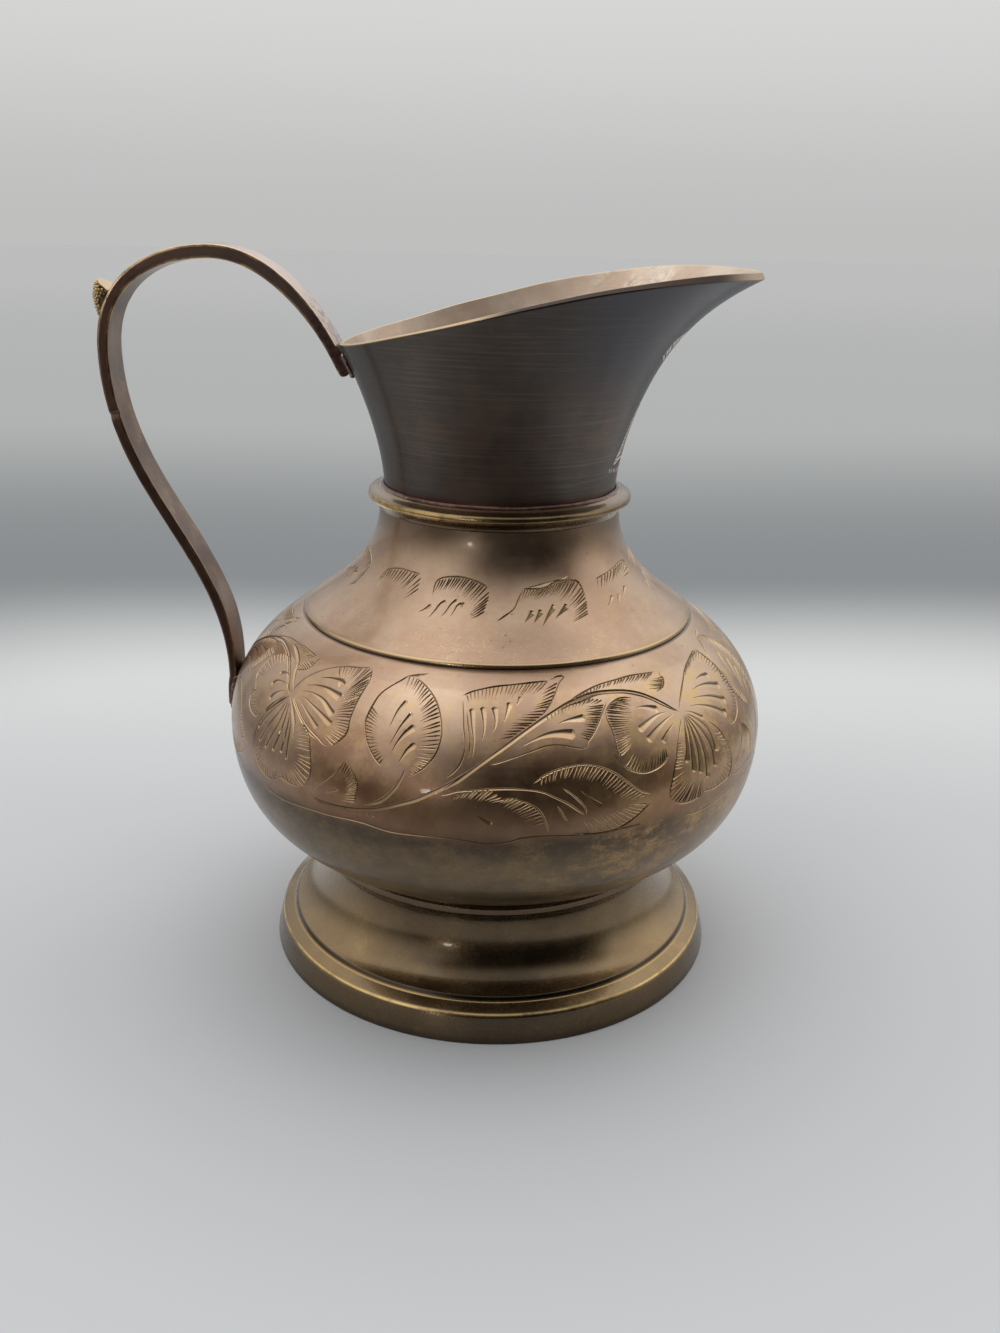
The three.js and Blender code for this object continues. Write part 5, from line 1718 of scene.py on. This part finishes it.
def make_body_brass():
    """Bowl and shoulder: rosy brown, golder round the engraving, dark olive under the border."""
    f, rough, height = old_brass(
        "body_brass", (170, 131, 104), (203, 173, 147), (208, 174, 118),
        patches=12.0, rings=0.7, spots=0.55, wear=0.45,
    )
    x, z = f.along("X"), f.along("Z")
    drift = f.noise(15.0, 4.0)
    cloud = f.noise(5.0, 6.0, 0.68)
    streak = f.noise(2.4, 6.0, 0.7, stretch=(1.8, 1.8, 0.9))
    # A browner girdle where the widest part was handled least
    girdle = z.within(55.0, 61.0, 74.0, 92.0)
    browner = f.blend(x.ramp(8.0, 44.0), (130, 90, 60), (158, 118, 72))
    f.lay(girdle * 0.6, browner)
    # Painted shade just above the border line, where the belly turns under
    shade_over_border = z.within(56.0, 62.0, 66.0, 75.0)
    f.lay(shade_over_border * 0.42, 80, 57, 42)
    # The upper side is paler, partly rubbed by hands and cloths and partly a painted sheen of the
    # light from above
    f.lay(z.ramp(86.0, 97.0) * 0.30, 206, 184, 160)
    # Gold shows through near the cuts of the upper band
    gold = cloud.ramp(0.45, 0.62) * z.ramp(64.0, 82.0) * (0.35 + 0.35 * x.ramp(0.0, 50.0))
    gold = gold * (1.0 - 0.7 * z.ramp(96.0, 99.0))
    f.lay(gold, 210, 176, 118)
    # Below the border line the skin is dark and greenish, rubbed through in streaks
    under = 1.0 - (z + 3.0 * (drift - 0.5) + 2.0 * (cloud - 0.5)).ramp(64.4, 68.4)
    olive = f.blend(cloud.ramp(0.36, 0.66), (92, 77, 58), (116, 96, 68))
    olive = f.blend(z.ramp(56.0, 64.0) * 0.55, olive, (58, 45, 35))
    olive = f.blend(z.fall(52.0, 66.0) * 0.45, olive, (132, 114, 88))
    olive = f.blend(x.ramp(36.0, 66.0) * 0.7, olive, (160, 130, 96))
    grain = f.noise(0.6, 5.0, 0.7).ramp(0.36, 0.60)
    rubbed = (streak * 0.45 + drift * 0.55).ramp(0.44, 0.62) * (0.35 + 0.65 * grain)
    olive = f.blend(rubbed * (0.18 + 0.70 * x.ramp(2.0, 34.0)), olive, (192, 154, 98))
    f.lay(under, olive)
    # The step where the two shells meet: painted glints on the shoulder above it, a bright worn
    # edge, and under that edge a joint painted dark with the shade of its crease
    # Painted glints
    sparkle = f.noise(0.38, 2.0).ramp(0.60, 0.68) * cloud.ramp(0.4, 0.6)
    over_step = z.within(102.5, 104.5, 105.0, 116.0)
    f.lay(sparkle * over_step * 0.6, 244, 226, 196)
    edge = f.near_ring(*STEP, 0.25, 0.75)
    f.lay(edge * 0.85, 226, 196, 140)
    # Painted shade in the crease under the step's edge
    joint = f.near_ring(SEAM[0], SEAM[1] + 0.1, 0.25, 0.7)
    f.lay(joint * 0.8, 52, 38, 28)
    # Darker right under the collar, partly grime and partly painted shade under its overhang, and
    # the shoulder is a little browner than the bowl
    f.lay(z.ramp(121.0, 131.0) * 0.55, 118, 100, 78)
    f.lay(z.ramp(98.0, 99.0) * 0.22, 140, 108, 82)
    facet, deep = f.mark("facet"), f.mark("cut")
    f.lay(facet * 0.55, 204, 172, 126)
    dirt = deep.ramp(0.56, 0.94) * (0.62 + 0.5 * cloud).least(0.95)
    f.lay(dirt, 50, 36, 26)
    rough = rough + 0.06 * under + 0.28 * dirt - 0.05 * facet - 0.08 * edge
    scratch = f.noise(0.8, 2.0, 0.5, stretch=(7, 2.0, 0.35)).ramp(0.62, 0.72)
    return f.metal(rough.most(0.18), height - scratch * 0.3, 0.012, 0.8)


def make_foot_brass():
    """Foot and collar: olive brown, smooth, rubbed to gold on the round edges."""
    f, rough, height = old_brass(
        "foot_brass", (90, 73, 52), (124, 103, 73), (182, 150, 100),
        patches=14.0, rings=0.8, rough=0.27, spots=0.30, specks=0.12, wear=0.30,
    )
    x, z = f.along("X"), f.along("Z")
    rubbed = 0.35 + 0.65 * f.noise(5.0, 5.0).ramp(0.34, 0.58)
    # Painted shade at the front, standing for the dark open front of the box seen in the brass,
    # and painted highlights towards both sides
    flank = ((x - 6.0) * (x - 6.0)) ** 0.5
    below = z.fall(60.0, 80.0)
    f.lay(flank.fall(8.0, 34.0) * below * 0.35, 62, 48, 34)
    f.lay(flank.ramp(20.0, 44.0) * below * 0.38, 176, 146, 102)
    edge = f.near_ring(FOOT_EDGE[0] - 0.15, FOOT_EDGE[1] - 0.1, 0.1, 0.55)
    f.lay(edge * rubbed, 224, 190, 124)
    step = f.near_ring(FOOT_STEP[0], FOOT_STEP[1] + 0.1, 0.1, 0.55)
    f.lay(step * 0.6, 196, 164, 108)
    # Darker in the corner at the foot of the cove
    corner = f.near_ring(COVE_FOOT[0] + 0.1, COVE_FOOT[1] - 0.4, 0.3, 0.9)
    f.lay(corner * 0.8, 40, 31, 22)
    # Painted shade on the flange's outer face
    f.lay(z.fall(6.6, 7.4) * 0.5, 78, 64, 46)
    # Darker towards the bottom, on the rest ring
    f.lay(z.fall(0.5, 2.4) * 0.6, 58, 47, 34)
    # Painted shade under the bowl, on the foot's lip and the braze above it
    f.lay(z.within(29.0, 32.5, 40.0, 41.0) * 0.4, 84, 66, 48)
    # The collar ring's ledge is browner. Its round edge is rubbed to gold, kept mostly on the left
    # as a painted highlight
    f.lay(z.ramp(135.9, 136.6) * 0.6, 150, 122, 92)
    gold = f.near_ring(COLLAR_RADIUS - 0.2, COLLAR_FOOT + 3.3, 0.4, 1.7) * rubbed
    # Painted highlight: the gold fades out towards the right
    gold = gold * (1.0 - 0.8 * x.ramp(-22.0, 8.0))
    f.lay(gold, 222, 186, 122)
    return f.metal(rough.most(0.16), height, 0.008, 0.8)


def make_neck_brass():
    """Neck: dull grey brown outside, pinkish and pale where the mouth was cleaned."""
    f, rough, height = old_brass(
        "neck_brass", (90, 82, 75), (108, 99, 92), (140, 120, 98),
        patches=16.0, rings=1.2, rough=0.41, spots=0.2, specks=0.12, wear=0.10,
    )
    x, y, z = (f.along(way) for way in "XYZ")
    brushed = f.noise(1.1, 4.0, 0.65, stretch=(24, 24, 0.5)).ramp(0.46, 0.70)
    f.lay(brushed * 0.45, 134, 122, 112)
    warm = f.noise(20.0, 4.0).ramp(0.46, 0.62) * z.fall(150.0, 180.0) * 0.6
    f.lay(warm, 122, 98, 84)
    # Painted reflection: a bluish grey sheen up the right side towards the lip
    blue_reflection = x.ramp(4.0, 34.0) * z.ramp(150.0, 178.0) * 0.8
    f.lay(blue_reflection, 82, 82, 88)
    f.lay((0.0 - x).ramp(18.0, 34.0) * 0.7, 72, 66, 61)
    # Where it meets the collar the heat of the joint left a reddish line
    heat = 1.0 - (z - 137.0 + 1.2 * (f.noise(2.5, 4.0) - 0.5)).ramp(0.5, 2.4)
    f.lay(heat * 0.7, 112, 66, 58)
    inside, rim = f.mark("inside"), f.mark("rim")
    tint = f.noise(16.0, 5.0, 0.6)
    pale = f.blend(tint.ramp(0.36, 0.64), (196, 172, 152), (214, 196, 178))
    f.lay(inside, pale)
    # A rough, bright patch inside, where the sheet was hammered out to the lip
    flat = f.noise(9.0, 3.0).ramp(0.40, 0.5)
    patch = x.within(22.0, 30.0, 44.0, 52.0) * y.ramp(-2.0, 8.0)
    patch = patch * z.ramp(181.0, 186.0) * inside * flat
    crust = f.noise(1.6, 6.0, 0.75)
    f.lay(patch * crust.ramp(0.34, 0.66) * 0.7, 244, 232, 218)
    # The cut edge of the sheet: pale beside the handle and at the tip, dark between
    cut_edge = f.blend(x.ramp(-8.0, 6.0), (206, 178, 140), (56, 42, 34))
    cut_edge = f.blend(x.ramp(52.0, 66.0) + y.ramp(2.0, 9.0), cut_edge, (186, 164, 134))
    f.lay(rim, cut_edge)
    # A painted highlight along the inner edge of the rim
    f.lay(f.mark("edge") * 0.6, 236, 216, 184)
    facet, deep = f.mark("facet"), f.mark("cut")
    f.lay(facet * 0.95, 240, 226, 206)
    f.lay(deep.ramp(0.6, 0.95) * 0.8, 52, 40, 34)
    rough = rough + 0.10 * inside + 0.12 * patch
    height = height + patch * crust * 7.0
    return f.metal(rough.most(0.2), height, 0.012, 0.9, coat=0.2)


def make_strap_brass():
    """Strap: reddish brown, with a painted pale pink highlight over the top, bare along its worn
    edges, which a painted highlight brightens near the top.
    """
    f, rough, height = old_brass(
        "strap_brass", (108, 82, 66), (146, 116, 92), (196, 166, 136),
        patches=7.0, rough=0.34, spots=0.5, wear=0.4,
    )
    x, z = f.along("X"), f.along("Z")
    # Painted highlight: the top, and the part towards the mouth, pale and pink where the light
    # from above falls
    paler = z.ramp(188.0, 197.0) * 0.5 + x.ramp(-84.0, -66.0) * z.ramp(150.0, 176.0)
    f.lay(paler.least(0.9), 226, 206, 192)
    f.lay(f.mark("side") * 0.9, 88, 64, 54)
    # Worn edges, rubbed bare, with a painted highlight that brightens them towards the top
    rubbed = 0.25 + 0.75 * f.noise(6.0, 5.0).ramp(0.40, 0.60)
    edge = f.mark("edge").ramp(0.35, 0.9) * rubbed
    f.lay(edge * (0.25 + 0.65 * z.ramp(150.0, 196.0)), 232, 196, 150)
    # Near the mouth the solder's heat left a reddish crust
    crust = x.ramp(-55.0, -47.0) * f.noise(2.0, 5.0, 0.7).ramp(0.45, 0.6)
    f.lay(crust * 0.7, 92, 46, 44)
    return f.metal(rough.most(0.2), height, 0.014, 0.9)


def make_cast_brass():
    """Thumb stop: bright on its pebbles and ridge, dark with dirt between them."""
    f, rough, height = old_brass(
        "cast_brass", (150, 116, 70), (196, 158, 104), (236, 208, 160),
        patches=2.5, spots=0.7, wear=0.6,
    )
    proud = f.mark("edge")
    pits = f.noise(0.9, 3.0).ramp(0.44, 0.56)
    f.lay((1.0 - proud) * (0.35 + 0.6 * pits), 54, 38, 24)
    f.lay(proud * 0.7, 232, 200, 148)
    return f.metal(rough.most(0.2), height, 0.02, 1.0)


def make_solder(name, skin, thin, wear):
    """Brazing metal at a joint, grained finely."""
    bright = (226, 214, 204)
    sizes = {"patches": 1.6, "rough": 0.40, "spots": 0.6, "wear": wear}
    f, rough, height = old_brass(name, skin, thin, bright, **sizes)
    return f.metal(rough.most(0.2), height, 0.02, 1.0)


body_brass = make_body_brass()
foot_brass = make_foot_brass()
neck_brass = make_neck_brass()
strap_brass = make_strap_brass()
cast_brass = make_cast_brass()
solder = make_solder("braze", (104, 76, 66), (160, 134, 120), 0.7)
ring_solder = make_solder("ring_braze", (84, 54, 47), (112, 84, 72), 0.22)

stands_for(make_foot(), "foot", foot_brass)
stands_for(make_bowl(), "bowl", body_brass)
stands_for(make_shoulder(), "shoulder", body_brass)
stands_for(make_collar(), "collar_ring", foot_brass)
stands_for(make_neck(), "neck_and_lip", neck_brass)
stands_for(make_strap(strap_brass), "handle_strap", strap_brass)
stands_for(make_thumb_stop(cast_brass), "thumb_stop", cast_brass)
foot_solder = fillet("foot_solder", BASE[0] + 0.3, FOOT_TOP, 0.7, 0.55, 41, 0.05)
stands_for(foot_solder, "foot_braze", foot_brass)
collar_solder = fillet("collar_solder", SOCKET, COLLAR_TOP, 0.8, 0.7, 43, 0.06)
stands_for(collar_solder, "collar_braze", ring_solder)
stands_for(make_lower_solder(solder), "handle_lower_braze", solder)
stands_for(make_upper_solder(solder), "handle_upper_braze", solder)
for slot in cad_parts["body_braze"].material_slots:
    slot.material = solder


# Floor, backdrop, light and camera: an open-fronted light box

FLOOR_REACH = 6.0
PAPER = (206, 208, 211)
LAMP_STRENGTH = 14.0
FOCAL_PIXELS, PICTURE_PIXELS, SENSOR = 1240.164, 1333, 36.0
CAMERA_PLACE = (28.357, -339.793, 208.184)
CAMERA_RIGHT = (0.9990195, 0.0391207, 0.0207272)
CAMERA_UP = (-0.0329650, 0.3447905, 0.9381007)


def make_floor():
    mesh = bpy.data.meshes.new("floor")
    corners = [(-1, -1), (1, -1), (1, 1), (-1, 1)]
    corners = [(x * FLOOR_REACH, y * FLOOR_REACH, 0) for x, y in corners]
    mesh.from_pydata(corners, [], [(0, 1, 2, 3)])
    floor = bpy.data.objects.new("floor", mesh)
    bpy.context.scene.collection.objects.link(floor)
    f = Finish("floor_paper")
    x, y = f.along("X"), f.along("Y")
    away = ((x * 0.85) ** 4.0 + y ** 4.0) ** 0.25 - 0.18 * x.most(0.0)
    # The flat floor is painted with the light and shade of a backdrop's bend: lighter in front, a
    # painted highlight band just behind the pitcher, a painted shade band further off, and paler
    # again beyond it
    f.color = PAPER
    f.lay((0.0 - y).ramp(30.0, 260.0), 214, 216, 219)
    f.lay(y.ramp(60.0, 215.0), 220, 222, 222)
    f.lay(away.ramp(190.0, 375.0), 130, 134, 137)
    f.lay(away.ramp(400.0, 930.0), 174, 176, 176)
    f.lay(away.ramp(1050.0, 3600.0), 184, 185, 185)
    # Painted reflection: for glossy rays only, the floor is painted dark from the box's open front
    # on, standing for the dark room seen in the brass
    path = f.node("ShaderNodeLightPath", {}, {}, "Is Glossy Ray")
    room = (0.0 - y).ramp(120.0, 250.0) * path
    f.lay(room, 36, 34, 32)
    shader = f.node("ShaderNodeBsdfPrincipled", {}, {"Base Color": f.color, "Roughness": 0.75})
    f.node("ShaderNodeOutputMaterial", {}, {"Surface": shader}, None)
    mesh.materials.append(f.material)


def make_world():
    """Light from above and from the box's white sides, and little from its open front."""
    world = bpy.data.worlds.new("light_box")
    bpy.context.scene.world = world
    world.use_nodes = True
    f = Finish(world, "Generated")
    x, y, z = (f.node("ShaderNodeSeparateXYZ", {}, {0: f.place}, k) for k in "XYZ")
    level = (1.0 - z * z).most(0.001) ** 0.5
    # The dark opening reaches wider, and further to the right, higher up
    high = z.ramp(0.35, 0.75)
    facing = ((0.46 - 0.03 * high) * x - 0.95 * y).joined("DIVIDE", level)
    front = (facing + 0.15 * high).ramp(0.50, 0.84)
    sides = 0.32 + 0.34 * z.ramp(0.0, 0.22) + 0.36 * z.ramp(0.12, 0.5) + 0.80 * z.ramp(0.6, 1.0)
    sides = sides * (0.97 + 0.16 * x)
    ahead = 0.025 + (0.56 + 0.40 * x.ramp(0.18, 0.5)) * z.ramp(0.58, 0.86)
    ahead = ahead + 0.62 * z.ramp(0.86, 1.0)
    lamp = (z * 0.02 - x * 0.405 - y * 0.914).ramp(0.9985, 0.9995)
    strength = sides * (1.0 - front) + ahead * front + lamp * LAMP_STRENGTH
    path = f.node("ShaderNodeLightPath", {}, {}, "Is Camera Ray")
    seen = 0.52 + 0.155 * z.ramp(-0.02, 0.16)
    strength = strength * (1.0 - path) + seen * path
    values = {"Color": (1.0, 1.0, 0.992, 1.0), "Strength": strength}
    back = f.node("ShaderNodeBackground", {}, values)
    f.node("ShaderNodeOutputWorld", {}, {"Surface": back}, None)


def make_camera():
    data = bpy.data.cameras.new("camera")
    data.sensor_width = SENSOR
    data.sensor_fit = "AUTO"
    data.lens = FOCAL_PIXELS / PICTURE_PIXELS * SENSOR
    data.clip_start, data.clip_end = 0.01, 20
    camera = bpy.data.objects.new("camera", data)
    bpy.context.scene.collection.objects.link(camera)
    right, up = Vector(CAMERA_RIGHT), Vector(CAMERA_UP)
    turn = Matrix((right, up, right.cross(up))).transposed().to_4x4()
    camera.matrix_world = Matrix.Translation(Vector(CAMERA_PLACE) * MM) @ turn
    bpy.context.scene.camera = camera


make_floor()
make_world()
make_camera()
bpy.context.scene.view_settings.view_transform = "Standard"
